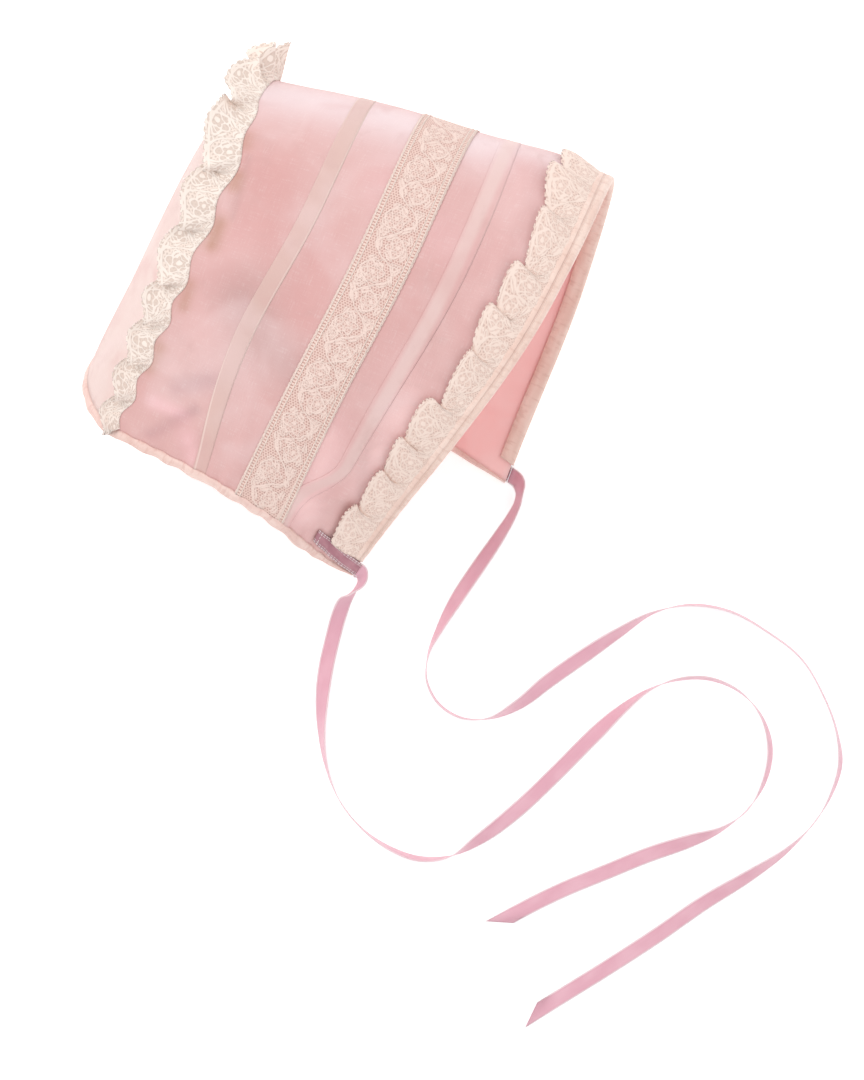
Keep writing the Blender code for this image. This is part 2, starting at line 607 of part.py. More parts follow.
def make_tie(name, near_edge, route, surface):
    """A flat ribbon from its sewn end along its route, resting on the floor on its face or edge."""
    sewn = place(sum(tab_faces(near_edge)) / 2) / MM
    end, before = sewn[-1].mean(axis=0), sewn[-2].mean(axis=0)
    onward = (end - before) / np.linalg.norm(end - before)
    sewn_wide = (sewn[-1, 0] - sewn[-1, 1]) / np.linalg.norm(sewn[-1, 0] - sewn[-1, 1])
    route = np.array(route)
    turn = math.radians(route[0, 3])
    resting = abs(math.sin(turn)) * RIBBON_WIDTH / 2 + abs(math.cos(turn)) * TRIM / 2 + CLEAR
    first = [[*(end + onward * reach), route[0, 3]] for reach in (GAP, GAP + TIE_LEAVE)]
    route = np.concatenate([first - np.array([0, 0, resting, 0]), route])
    flat_run = np.concatenate([[0], np.cumsum(np.linalg.norm(np.diff(route[:, :3], axis=0), axis=-1))])
    read = np.linspace(0, flat_run[-1], 2000)
    rows = smooth(flat_run, route, read)
    turn = np.radians(rows[:, 3])
    resting = np.abs(np.sin(turn)) * RIBBON_WIDTH / 2 + np.abs(np.cos(turn)) * TRIM / 2
    centre = np.stack([rows[:, 0], rows[:, 1], rows[:, 2] + resting + CLEAR], axis=-1)
    run = np.concatenate([[0], np.cumsum(np.linalg.norm(np.diff(centre, axis=0), axis=-1))])
    close = np.linspace(0, TIE_TWIST, TIE_TWIST_STEPS + 1)[:-1]
    even = np.concatenate([close, np.linspace(TIE_TWIST, run[-1], TIE_STEPS + 1)])
    centre = np.stack([np.interp(even, run, centre[:, i]) for i in range(3)], axis=-1)
    turn = np.interp(even, run, turn)
    along = np.gradient(centre, axis=0)
    along = along / np.linalg.norm(along, axis=-1, keepdims=True)
    straight = ease(1 - even / TIE_BEND)[:, None]
    along = along * (1 - straight) + onward * straight
    along = along / np.linalg.norm(along, axis=-1, keepdims=True)
    level = np.cross(np.array([0.0, 0.0, 1.0]), along)
    level = level / np.linalg.norm(level, axis=-1, keepdims=True)
    over = np.cross(along, level)
    wide = level * np.cos(turn)[:, None] + over * np.sin(turn)[:, None]
    held = ease(1 - even / TIE_TWIST)[:, None]
    wide = wide * (1 - held) + sewn_wide * np.sign(np.dot(sewn_wide, wide[0])) * held
    wide = wide - along * np.sum(wide * along, axis=-1, keepdims=True)
    wide = wide / np.linalg.norm(wide, axis=-1, keepdims=True)
    face = np.cross(along, wide)
    half, thick = RIBBON_WIDTH / 2, TRIM / 2
    corners = ((half, thick), (-half, thick), (half, -thick), (-half, -thick))
    rings = np.stack([centre + wide * w + face * t for w, t in corners], axis=1)
    # The right tie's cut slants the other way from the left one's.
    cut = np.array([w / half * TIE_CUT for w, t in corners]) * (-1 if near_edge else 1)
    rings[-1] -= along[-1] * cut[:, None]
    # The first ring is cut to the slant of the sewn end, so that the two meet face to face.
    slant = onward - sewn_wide * np.dot(onward, sewn_wide)
    rings[0] -= onward * (((rings[0] - centre[0]) @ slant) / np.dot(onward, slant))[:, None]
    rings[..., 2] = np.maximum(rings[..., 2], 0)
    print(name, "length", round(float(run[-1]), 1), "mm")
    return shell(name, rings[:, :2] * MM, rings[:, 2:] * MM, surface)


def make_bonnet():
    under = -CLOTH - GAP
    strip("side_panel", DEPTHS, -CLOTH, 0.0, SHEER_CLOTH)
    strip("side_lining", (SIDE_LINING_START, *DEPTHS[1:]), under - CLOTH, under, PINK_LINING)
    back_shell("back_panel", (FLAT_STEPS + CROWN_STEPS + SIDE_STEPS) // 2, False, -CLOTH, 0.0, SHEER_CLOTH)
    back_shell("back_lining", BACK_LINING_ROWS, True, under - CLOTH, under, PINK_LINING)
    strip("rear_tuck", REAR_TUCK, GAP, GAP + TRIM, SHEER_CLOTH)
    strip("lace_band", LACE, GAP, GAP + BAND, IVORY_LACE)
    strip("front_tuck", FRONT_TUCK, GAP, GAP + TRIM, SHEER_CLOTH)
    make_face_binding(IVORY_SATIN)
    make_neck_binding(IVORY_SATIN)
    make_face_frill(IVORY_LACE)
    make_seam_frill(IVORY_LACE)
    make_tab("ribbon_right_tab", True, PINK_SATIN)
    make_tab("ribbon_left_tab", False, PINK_SATIN)
    make_tie("ribbon_right", True, RIGHT_TIE, PINK_SATIN)
    make_tie("ribbon_left", False, LEFT_TIE, PINK_SATIN)


for old in list(bpy.data.objects):
    bpy.data.objects.remove(old)
make_bonnet()
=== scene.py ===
import math
from collections import namedtuple
from functools import partialmethod

import bmesh
import bpy
import numpy as np
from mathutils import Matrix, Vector


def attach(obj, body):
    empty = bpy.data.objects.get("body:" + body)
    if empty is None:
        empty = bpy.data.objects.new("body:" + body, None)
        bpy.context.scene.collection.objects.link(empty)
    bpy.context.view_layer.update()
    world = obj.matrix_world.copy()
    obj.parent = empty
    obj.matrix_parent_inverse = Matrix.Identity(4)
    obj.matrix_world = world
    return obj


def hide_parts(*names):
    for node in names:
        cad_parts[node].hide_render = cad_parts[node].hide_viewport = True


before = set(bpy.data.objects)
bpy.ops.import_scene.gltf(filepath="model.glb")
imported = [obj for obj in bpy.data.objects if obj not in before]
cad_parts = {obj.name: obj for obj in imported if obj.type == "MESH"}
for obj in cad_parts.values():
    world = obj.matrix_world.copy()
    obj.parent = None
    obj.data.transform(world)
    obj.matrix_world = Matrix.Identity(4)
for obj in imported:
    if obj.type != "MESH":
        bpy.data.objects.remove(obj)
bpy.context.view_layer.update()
scene = bpy.context.scene
mm = 0.001
print("frame loaded")


def table(name, columns, *rows):
    # rows with named columns
    kind = namedtuple(name, columns)
    return [kind(*row) for row in rows]


def put(name, data):
    made = bpy.data.objects.new(name, data)
    scene.collection.objects.link(made)
    return made


# the camera looks straight down, as the photograph does
view = {"height": 2000, "centre": (33.691, -92.077), "lens": 162, "sensor": 36}

camera = bpy.data.cameras.new("camera")
camera.sensor_fit = "VERTICAL"
camera.sensor_height = view["sensor"]
camera.lens = view["lens"]
scene.camera = put("camera", camera)
scene.camera.location = Vector((*view["centre"], view["height"])) * mm

# the bonnet's form is in millimetres: forward, rise towards the crown, height
form = {
    "depth": 141,
    "middle": 70,  # the depth at which lengths round the head are measured
    "cloth": 1, "gap": 0.3, "clear": 0.1, "restHeight": 1, "turn": math.radians(-17.4),
    "place": (-30.142, 91.193), "crownHold": 0.42, "edgeHold": 0.36,
    "folded": (1.2, 0.4),  # round the head, where the folds set in and over how much
    "aroundStep": 0.004,  # small ways on the cloth, for its slopes
    "depthStep": 0.5,
}
dome = {"bulge": 22, "fullness": 0.85, "lean": 1.15, "roundness": 0.8, "highest": 0.97}

# one row is a line over the head at one depth; far to near say how far forward it lies round the head
sections = table(
    "Section", "depth far crown shoulder flank near top height nearRise nearZ farRise droop",
    (0, -6, 1.5, -9.5, -14.5, -19.5, 2, 84, -151.3, 60, -97, 0.3),
    (39, 31, 39, 32.9, 20.4, 19.3, 5.4, 90, -157.6, 66, -101, 0.4),
    (62, 54, 61.8, 55.5, 44.8, 35, 6.4, 93, -161.2, 66, -104, 0.45),
    (85, 78, 85, 78.5, 66.5, 57, 6.4, 95, -167.3, 58, -107.5, 0.5),
    (99, 93, 98.7, 95, 80.5, 65.5, 6.6, 95, -171, 47, -110.5, 0.52),
    (120, 115, 119.7, 115, 96, 77.5, 7, 94.5, -175.8, 36, -117, 0.54),
    (141, 137.3, 141.7, 134, 112.5, 88.8, 4.2, 94, -178.5, 27, -124, 0.54),
)
roundPlaces = (0, 1.5, 2, 2.5, 3)

folds = table(
    "Fold", "depth around long wide lift",
    (22, 2.15, 16, 0.3, 1.6), (50, 2.45, 12, 0.35, -1.8), (14, 2.62, 10, 0.22, -1.5),
    (34, 2.8, 12, 0.16, 1.4), (108, 2.3, 14, 0.3, -1.2), (96, 2.72, 9, 0.2, 1.5),
    (118, 2.78, 9, 0.2, -1.3), (70, 1.75, 25, 0.25, -0.9),
)

# finer creases: from one place to another on the cloth, how wide in millimetres and how high
creases = table(
    "Crease", "depthA aroundA depthB aroundB wide lift",
    (6, 2.2, 30, 2.62, 3, 0.5), (12, 2.75, 30, 2.66, 2.2, 0.8), (16, 2.92, 34, 2.8, 2.4, -0.7),
    (20, 2.6, 33, 2.72, 2, -0.6), (48, 2.6, 58, 2.93, 3, 0.6), (88, 2.94, 112, 2.78, 3, 0.9),
    (92, 2.98, 122, 2.93, 2.2, -0.7), (104, 2.6, 122, 2.88, 3.5, -0.6), (16, 1.6, 20, 2.2, 4, -0.5),
    (44, 1.85, 50, 2.3, 4, -0.5), (110, 1.7, 114, 2.2, 4, 0.5),
)
neckGathers = {"lift": 0.35, "spacing": 8.5, "reach": 0.09, "fade": 20}  # puckers along the neck edge
ripple = {"lift": 0.28, "long": 11, "wide": 14}
aroundLength = 104  # millimetres of cloth for one unit round the head, near enough for creases


def ramp(x, start, length):
    # 0 up to the start, and from there evenly up to 1 over the length
    return np.clip((x - start) / length, 0, 1)


def spread(*values):
    # the values as arrays of one shape
    return np.broadcast_arrays(*(np.asarray(value, float) for value in values))


def easeStep(share):
    share = np.clip(share, 0, 1)
    return share**2 * (3 - 2 * share)


def smoothCurve(places, values, x):
    # a smooth curve through the values at the places, read at x
    places = np.asarray(places, float)
    values = np.asarray(values, float)
    if values.ndim == 1:
        return smoothCurve(places, values[:, None], x)[..., 0]
    step = np.diff(places)
    slope = np.diff(values, axis=0) / step[:, None]
    before, after = step[:-1, None], step[1:, None]
    middle = (slope[:-1] * after + slope[1:] * before) / (before + after)
    tangent = np.concatenate([slope[:1], middle, slope[-1:]])
    x = np.clip(np.asarray(x, float), places[0], places[-1])
    i = np.clip(np.searchsorted(places, x, side="right") - 1, 0, len(step) - 1)
    h = step[i][..., None]
    t = (x - places[i])[..., None] / h
    # a cubic between each two places
    return (
        (1 + 2 * t) * (1 - t) ** 2 * values[i]
        + t * (1 - t) ** 2 * h * tangent[i]
        + t**2 * (3 - 2 * t) * values[i + 1]
        + t**2 * (t - 1) * h * tangent[i + 1]
    )


def unit(vectors):
    return vectors / np.maximum(np.linalg.norm(vectors, axis=-1, keepdims=True), 1e-12)


def clothBase(depth, around):
    # around 0 to 1 lies on the floor, 1 to 2 goes over the crown, 2 to 3 is the upper side
    depth, around = spread(depth, around)
    rows = smoothCurve([row.depth for row in sections], [row[1:] for row in sections], depth)
    far, crown, shoulder, flank, near, top, height, nearRise, nearZ, farRise, droop = (
        rows[..., i] for i in range(rows.shape[-1])
    )
    radius = height / 2
    middle = top - radius
    flat = np.clip(around, 0, 1)
    turn = np.clip(around - 1, 0, 1) * math.pi
    side = np.clip(around - 2, 0, 1)
    rise = np.where(around < 1, farRise + (middle - farRise) * flat, middle + radius * np.sin(turn))
    up = form["restHeight"] + radius * (1 - np.cos(turn))
    reach = np.hypot(middle - nearRise, form["restHeight"] + height - nearZ)
    leave, arrive = reach * form["crownHold"], reach * form["edgeHold"]
    rises = (middle, middle - leave, nearRise + arrive * np.cos(droop), nearRise)
    peak = form["restHeight"] + height
    ups = (peak, peak, nearZ + arrive * np.sin(droop), nearZ)
    weights = ((1 - side) ** 3, 3 * side * (1 - side) ** 2, 3 * side**2 * (1 - side), side**3)
    rise = np.where(around > 2, sum(w * p for w, p in zip(weights, rises)), rise)
    up = np.where(around > 2, sum(w * p for w, p in zip(weights, ups)), up)
    forward = np.zeros_like(depth)
    marks = (far, crown, shoulder, flank, near)
    for i, value in enumerate(marks):
        forward = forward + value * smoothCurve(roundPlaces, np.eye(len(marks))[i], around)
    return np.stack([forward, rise, up], axis=-1)


def outward(surface, depth, around):
    small, smallDepth = form["aroundStep"], form["depthStep"]
    low, high = np.maximum(around - small, 0), np.minimum(around + small, 3)
    along = surface(depth, high) - surface(depth, low)
    back, front = np.maximum(depth - smallDepth, 0), np.minimum(depth + smallDepth, form["depth"])
    forward = surface(front, around) - surface(back, around)
    return unit(np.cross(along, forward))


def creaseLift(depth, around):
    # how far the finer creases and the puckers raise the cloth
    x, y = depth, around * aroundLength
    lift = np.zeros_like(x)
    for crease in creases:
        ax, ay = crease.depthA, crease.aroundA * aroundLength
        dx, dy = crease.depthB - ax, crease.aroundB * aroundLength - ay
        length = math.hypot(dx, dy)
        along = ((x - ax) * dx + (y - ay) * dy) / length**2
        off = ((x - ax) * dy - (y - ay) * dx) / length
        ends = np.exp(-(np.clip(np.abs(along - 0.5) - 0.25, 0, None) * 4) ** 2)
        lift += crease.lift * ends * np.exp(-((off / crease.wide) ** 2))
    near = np.clip(1 - (3 - around) / neckGathers["reach"], 0, 1)
    wave = np.sin(x / neckGathers["spacing"] * 2 * math.pi + 1.7 * np.sin(x / 13))
    lift += neckGathers["lift"] * wave * near * ramp(form["depth"] - x, 0, neckGathers["fade"])
    across = np.sin(x / ripple["long"] + 1.3 * np.sin(y / 17))
    return lift + ripple["lift"] * across * np.sin(y / ripple["wide"] + np.sin(x / 19))


def cloth(depth, around):
    # the outer face of the side cloth with its folds
    depth, around = spread(depth, around)
    lift = sum(
        fold.lift
        * np.exp(-(((depth - fold.depth) / fold.long) ** 2) - ((around - fold.around) / fold.wide) ** 2)
        for fold in folds
    )
    lift = (lift + creaseLift(depth, around)) * ramp(around, *form["folded"])
    return clothBase(depth, around) + lift[..., None] * outward(clothBase, depth, around)


def layer(depth, around, offset):
    # points off the outer face of the side cloth; past an edge a depth runs straight on
    depth, around, offset = spread(depth, around, offset)
    inside = np.clip(depth, 0, form["depth"])
    ahead = np.clip(inside + 1, 0, form["depth"])
    behind = np.clip(inside - 1, 0, form["depth"])
    forward = unit(cloth(ahead, around) - cloth(behind, around))
    out = outward(cloth, inside, around)
    return cloth(inside, around) + out * offset[..., None] + forward * (depth - inside)[..., None]


def toWorld(points):
    # from the bonnet's own directions to the world's, both in millimetres
    points = np.asarray(points, float)
    forward, rise = points[..., 0], points[..., 1]
    turn, (placeX, placeY) = form["turn"], form["place"]
    x = forward * math.cos(turn) - rise * math.sin(turn) + placeX
    y = forward * math.sin(turn) + rise * math.cos(turn) + placeY
    return np.stack([x, y, points[..., 2]], axis=-1)


def lengthsAlong(points):
    steps = np.linalg.norm(np.diff(points, axis=0), axis=-1)
    return np.concatenate([[0], np.cumsum(steps)])


def aroundInside(depth, nearEdge, distance):
    # the place round the head a distance inside the far or the near neck edge
    around = np.linspace(2, 3, 200) if nearEdge else np.linspace(1, 0, 200)
    length = lengthsAlong(cloth(depth, around))
    return float(np.interp(distance, (length[-1] - length)[::-1], around[::-1]))


def evenlyAround(depth, start, end, count):
    around = np.linspace(start, end, 600)
    length = lengthsAlong(cloth(depth, around))
    return np.interp(np.linspace(0, length[-1], count), length, around)


def overHead(count):
    return evenlyAround(form["middle"], 0, 3, count)


# where the CAD's lines cross the head, which set how the back panel's rows run
lines = np.concatenate([np.linspace(0, 1, 5), np.linspace(1, 2, 15)[1:], np.linspace(2, 3, 13)[1:]])


def backCloth(row, across):
    # the dome of the back: row 0 is the neck edge and 1 the crown, across 0 to 1 far to near
    row, across = spread(row, across)
    half, index = (len(lines) - 1) / 2, np.arange(len(lines))
    far = cloth(0, np.interp(row * half, index, lines))
    near = cloth(0, np.interp(2 * half - row * half, index, lines))
    openAt = np.clip(1 - row**2, 0, 1) ** dome["fullness"]
    swell = dome["bulge"] * openAt * np.sin(math.pi * across ** dome["lean"]) ** dome["roundness"]
    middle = far + (near - far) * across[..., None]
    return middle - swell[..., None] * np.array([1, 0, 0])


def backLayer(row, across, offset):
    # points off the outer face of the back panel, kept clear of the side cloth at its rim
    row, across, offset = spread(row, across, offset)
    small = 0.01
    above = np.clip(row + small, 0, dome["highest"])
    below = np.clip(row - small, 0, dome["highest"] - 2 * small)
    up = backCloth(above, across) - backCloth(below, across)
    over = backCloth(row, np.clip(across + small, 0, 1)) - backCloth(row, np.clip(across - small, 0, 1))
    straightBack = np.array([-1, 0, 0])
    out = np.cross(over, up)
    length = np.linalg.norm(out, axis=-1, keepdims=True)
    out = np.where(length > 1e-9, out / np.maximum(length, 1e-9), straightBack)
    edge = np.minimum(np.minimum(across, 1 - across) * 8, (1 - row) * 6)
    edge = np.clip(edge, 0, 1)[..., None]
    out = unit(out * edge + straightBack * (1 - edge))
    return backCloth(row, across) + straightBack * (form["cloth"] + form["gap"]) + out * offset[..., None]


def layOf(points):
    # millimetres along and across a grid of points, and from its nearer long edge
    middle = points[:, points.shape[1] // 2]
    along = np.broadcast_to(lengthsAlong(middle)[:, None], points.shape[:2])
    steps = np.linalg.norm(np.diff(points, axis=1), axis=-1)
    across = np.concatenate([np.zeros((len(points), 1)), np.cumsum(steps, axis=1)], axis=1)
    edge = np.minimum(across, across[:, -1:] - across)
    return np.stack([along, across, edge], axis=-1)


def clothGrid(bm, points, lay, tone=None):
    # a grid of faces on points in world millimetres, with their lay and tone kept for the patterns
    maps = bm.verts.layers.float_vector
    layMap = maps.get("lay") or maps.new("lay")
    toneMap = maps.new("tone") if tone is not None else None
    rows, columns = points.shape[:2]
    made = bmesh.ops.create_grid(bm, x_segments=rows - 1, y_segments=columns - 1, size=1)
    for vert in made["verts"]:
        row = round((vert.co.x + 1) / 2 * (rows - 1))
        column = round((vert.co.y + 1) / 2 * (columns - 1))
        vert.co = Vector(points[row, column] * mm)
        vert[layMap] = Vector(lay[row, column])
        if toneMap:
            vert[toneMap] = Vector(tone[row, column])


def finishPiece(name, bm, paint, node=None, wall=0, side=-1):
    bmesh.ops.remove_doubles(bm, verts=bm.verts, dist=1e-6)
    if not wall:
        bmesh.ops.recalc_face_normals(bm, faces=bm.faces)
    mesh = bpy.data.meshes.new(name)
    bm.to_mesh(mesh)
    bm.free()
    mesh.shade_smooth()
    mesh.materials.append(paint.material)
    piece = put(name, mesh)
    if wall:
        thick = piece.modifiers.new("thick", "SOLIDIFY")
        thick.thickness = wall * mm
        thick.offset = side
    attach(piece, "root")
    if node:
        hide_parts(node)
    return piece


def clothPiece(name, points, paint, node=None, wall=0.4, side=-1, lay=None, tone=None):
    # a sheet of cloth on a grid of points in world millimetres, its wall on the inner side
    bm = bmesh.new()
    clothGrid(bm, points, layOf(points) if lay is None else lay, tone)
    return finishPiece(name, bm, paint, node, wall, side)


def rodPiece(name, rods, paint, node=None):
    # closed rods, each through rings of points in world millimetres
    bm = bmesh.new()
    for rings in rods:
        closed = np.concatenate([rings, rings[:, :1]], axis=1)
        clothGrid(bm, closed, layOf(closed))
    bmesh.ops.remove_doubles(bm, verts=bm.verts, dist=1e-6)
    bmesh.ops.holes_fill(bm, edges=[edge for edge in bm.edges if edge.is_boundary])
    return finishPiece(name, bm, paint, node)


# shader maths: a wire is one output of a node, and sums and products of wires add maths nodes
class Wire:
    def __init__(self, paint, socket):
        self.paint, self.socket = paint, socket

    def maths(self, operation, *values):
        return self.paint.node("Math", {"operation": operation}, dict(enumerate((self, *values))))

    __add__ = __radd__ = partialmethod(maths, "ADD")
    __sub__ = partialmethod(maths, "SUBTRACT")
    __mul__ = __rmul__ = partialmethod(maths, "MULTIPLY")
    __truediv__ = partialmethod(maths, "DIVIDE")
    __pow__ = partialmethod(maths, "POWER")
    __mod__ = partialmethod(maths, "FLOORED_MODULO")
    __abs__ = partialmethod(maths, "ABSOLUTE")
    sine = partialmethod(maths, "SINE")
    cosine = partialmethod(maths, "COSINE")
    most = partialmethod(maths, "MAXIMUM")
    least = partialmethod(maths, "MINIMUM")

    def __rsub__(self, other):
        return self * -1 + other

    def waves(self, length):
        # sine waves, each of this length in millimetres
        return (self * (2 * math.pi / length)).sine()

    def step(self, low, high):
        # 0 below low and 1 above high, smoothly between; falls instead where high is the lower
        start, end, first, last = (low, high, 0, 1) if low < high else (high, low, 1, 0)
        inputs = {"Value": self, "From Min": start, "From Max": end, "To Min": first, "To Max": last}
        return self.paint.node("MapRange", {"interpolation_type": "SMOOTHSTEP"}, inputs)


def rgb(red, green, blue):
    # a colour as a screen shows it
    return (*((value / 255) ** 2.2 for value in (red, green, blue)), 1)


class Paint:
    def __init__(self, name, roughness, sheen=0, specular=0.3, **constants):
        self.material = bpy.data.materials.new(name)
        self.material.use_nodes = True
        tree = self.material.node_tree
        self.nodes, self.links = tree.nodes, tree.links
        self.shader = self.nodes["Principled BSDF"]
        surface = {"Roughness": roughness, "Specular IOR Level": specular}
        cloth = {"Sheen Weight": sheen, "Sheen Roughness": 0.45}
        for socket, value in {**surface, **cloth, **constants}.items():
            self.shader.inputs[socket].default_value = value

    def node(self, kind, settings=None, inputs=None, output=0):
        made = self.nodes.new(f"ShaderNode{kind}")
        for key, value in (settings or {}).items():
            setattr(made, key, value)
        for key, value in (inputs or {}).items():
            self.feed(made.inputs[key], value)
        return Wire(self, made.outputs[output])

    def feed(self, socket, value):
        if isinstance(value, Wire):
            self.links.new(value.socket, socket)
        else:
            socket.default_value = value

    def where(self):
        return self.node("TexCoord", output="Object")

    def lay(self):
        # millimetres along and across the piece, and from its edge
        vector = self.node("Attribute", {"attribute_name": "lay"}, output="Vector")
        return tuple(self.node("SeparateXYZ", None, {0: vector}, i) for i in range(3))

    def tone(self):
        # the soft colour worked out for each point of the cloth, its painted shade, shadow, sheen and
        # light included
        return self.node("Attribute", {"attribute_name": "tone"}, output="Color")

    def vector(self, x=0, y=0, z=0):
        return self.node("CombineXYZ", None, {0: x, 1: y, 2: z})

    def noise(self, where, scale, detail=2, roughness=0.5, distortion=0):
        inputs = {"Scale": scale, "Detail": detail, "Roughness": roughness, "Distortion": distortion}
        return self.node("TexNoise", None, {"Vector": where, **inputs})

    def streaks(self, along, across, alongScale, acrossScale, detail=2, roughness=0.5):
        # noise drawn out one way: the lower scale is the long way
        return self.noise(self.vector(along * alongScale, across * acrossScale), 1, detail, roughness)

    def mix(self, share, first, second):
        settings = {"data_type": "RGBA", "blend_type": "MIX", "clamp_factor": True}
        return self.node("Mix", settings, {0: share, 6: first, 7: second}, 2)

    def finish(self, colour, height, depth, roughness=None, alpha=None):
        # the bump's depth is in metres
        bump = self.node("Bump", None, {"Strength": 1, "Distance": depth, "Height": height})
        wires = {"Base Color": colour, "Normal": bump, "Roughness": roughness, "Alpha": alpha}
        for socket, value in wires.items():
            if value is not None:
                self.feed(self.shader.inputs[socket], value)
        return self


def threads(along, across, pitch):
    # a plain weave's height, with one thread every pitch millimetres each way
    return along.waves(pitch) * across.waves(pitch)


print("form and shader tools ready")


studio = {
    "floor": 4,  # metres from the middle to an edge
    "floorDrop": 0.0003, "floorColour": (0.95, 0.95, 0.95), "floorRoughness": 0.9,
    "floorShine": 0.1,
    "floorGlow": 0.35,  # keeps the floor white under the soft shadows
    "worldLight": 0.8,
    "lamps": (
        # name, place, size, power, colour
        ("keyLamp", (-0.9, 0.75, 1.5), 1.1, 12, (1, 0.985, 0.97)),
        ("fillLamp", (1.2, -0.5, 1.3), 1.6, 4, (1, 0.97, 0.96)),
    ),
}
scene.view_settings.view_transform = "Standard"
world = bpy.data.worlds.new("studio")
world.use_nodes = True
sky = world.node_tree.nodes["Background"].inputs
sky["Color"].default_value, sky["Strength"].default_value = (1, 1, 1, 1), studio["worldLight"]
scene.world = world
for name, spot, size, power, colour in studio["lamps"]:
    lamp = bpy.data.lights.new(name, "AREA")
    lamp.shape, lamp.size, lamp.energy, lamp.color = "DISK", size, power, colour
    lampObject = put(name, lamp)
    lampObject.location = spot
    lampObject.rotation_euler = (-Vector(spot)).to_track_quat("-Z", "Y").to_euler()
bm = bmesh.new()
bmesh.ops.create_grid(bm, x_segments=1, y_segments=1, size=studio["floor"])
bmesh.ops.translate(bm, verts=bm.verts, vec=(0, 0, -studio["floorDrop"]))
mesh = bpy.data.meshes.new("floor")
bm.to_mesh(mesh)
bm.free()
look = {
    "Base Color": (*studio["floorColour"], 1),
    "Emission Color": (1, 1, 1, 1),
    "Emission Strength": studio["floorGlow"],
}
paint = Paint("floorPaint", studio["floorRoughness"], specular=studio["floorShine"], **look)
mesh.materials.append(paint.material)
put("floor", mesh)
print("studio ready")


# the two ties: satin ribbon laid loosely, flat on its straight runs and on its edge in the bends
ribbon = {
    "width": 6.35, "thick": 0.4, "cadThick": 0.6, "columns": 8, "rings": 400,
    "leave": 1.2,  # runs on straight from the sewn end
    "bend": 7, "twist": 16,
    "samples": 4000,  # along its whole route
    "ending": 14,  # the length over which the cut slants
    "starting": 6,  # rings that turn towards the sewn end
    "cut": 5,  # half of what the slanting cut adds
    "rib": 0.32, "lengthRight": 0.482, "lengthLeft": 0.494, "body": rgb(230, 172, 188),
    "light": rgb(236, 184, 198), "deep": rgb(222, 160, 177), "edge": rgb(248, 226, 230),
}

# rows of x, y, height above the floor, and turn about its own length in degrees
rightTie = (
    (4.3, -108.2, 20.5, 60), (1.4, -112.7, 12, 92), (-2, -116.9, 5, 145), (-4.5, -122.9, 1.5, 172),
    (-7, -132, 0, 180), (-9.9, -144.7, 0, 188), (-11.5, -157.9, 0, 213), (-11.7, -170.3, 0, 240),
    (-9.9, -184.3, 0, 258), (-4.1, -199.5, 0, 268), (5.3, -211, 0, 271), (16.4, -218.8, 0, 282),
    (28.8, -223.1, 0, 286), (40.3, -222.3, 0, 272), (53.1, -215.1, 0, 222), (68.7, -203.2, 0, 188),
    (84.4, -188.4, 0, 178), (100, -172.7, 0, 165), (111.9, -161.6, 0, 125), (122.6, -153.8, 0, 97),
    (134.1, -149.5, 0, 80), (146.5, -148.9, 0, 77), (159.2, -153.8, 0, 84), (168.3, -163.3, 0, 98),
    (172.6, -177.7, 0, 112), (169.9, -192.1, 0, 108), (163, -203.2, 0, 92), (153.1, -210.6, 0, 108),
    (139.9, -215.7, 0, 150), (123.4, -221.3, 0, 175), (106.2, -228.3, 0, 180), (86.4, -236.5, 0, 182),
    (69.9, -244.7, 0, 181), (61.5, -249.3, 0, 180),
)
leftTie = (
    (69.3, -68.4, 0, 50), (69.7, -71.5, 0, 66), (68.9, -76.8, 0, 64), (66.2, -82.6, 0, 55),
    (60.9, -91.2, 0, 40), (52.7, -103.2, 0, 26), (44.4, -115.5, 0, 32), (37, -128.3, 0, 62),
    (32.1, -139.4, 0, 86), (31.5, -149.7, 0, 94), (36.2, -159.1, 0, 96), (45.7, -165.1, 0, 94),
    (56.4, -165.5, 0, 84), (68.7, -160, 0, 48), (81.5, -150.1, 0, 20), (95.5, -140.2, 0, 20),
    (110.3, -130.3, 0, 48), (124.3, -122.1, 0, 80), (139.9, -118.8, 0, 96), (156.4, -121.5, 0, 97),
    (171.6, -129.9, 0, 96), (185.2, -140.6, 0, 96), (194.2, -155.4, 0, 97), (200, -171.1, 0, 100),
    (201.4, -184.3, 0, 109), (197.9, -196.2, 0, 104), (190.5, -208.5, 0, 94), (179.4, -219.6, 0, 112),
    (165, -229.5, 0, 140), (145.3, -241.5, 0, 165), (125.9, -255, 0, 176), (106.2, -267.8, 0, 180),
    (86.4, -280.1, 0, 180), (74.5, -287.5, 0, 180),
)


def satinPaint(name, look):
    # ribbon satin: fine ribs across, slubs along, and a woven edge a little lighter
    paint = Paint(name, 0.42, sheen=0.15, specular=0.4, Anisotropic=0.3)
    along, across, edge = paint.lay()
    streak = paint.streaks(along, across, 0.05, 1.6)
    cloud = paint.streaks(along, across, 0.06, 0.12)
    colour = paint.mix(cloud.step(0.35, 0.7), look["body"], look["light"])
    colour = paint.mix(streak.step(0.55, 0.8) * 0.2, colour, look["deep"])
    selvedge = edge.step(0.62, 0.42)
    inside = edge.step(0.6, 0.75) * edge.step(1.2, 0.85)
    colour = paint.mix(inside * 0.3, colour, look["deep"])
    colour = paint.mix(selvedge * 0.9, colour, look["edge"])
    ribs = along.waves(look["rib"]) * 0.5
    picots = along.waves(0.7) * edge.step(0.5, 0.1)
    height = ribs + streak * 0.8 + selvedge * 0.9 + picots * 0.6
    return paint.finish(colour, height, 0.00006, roughness=streak * 0.2 + 0.32)


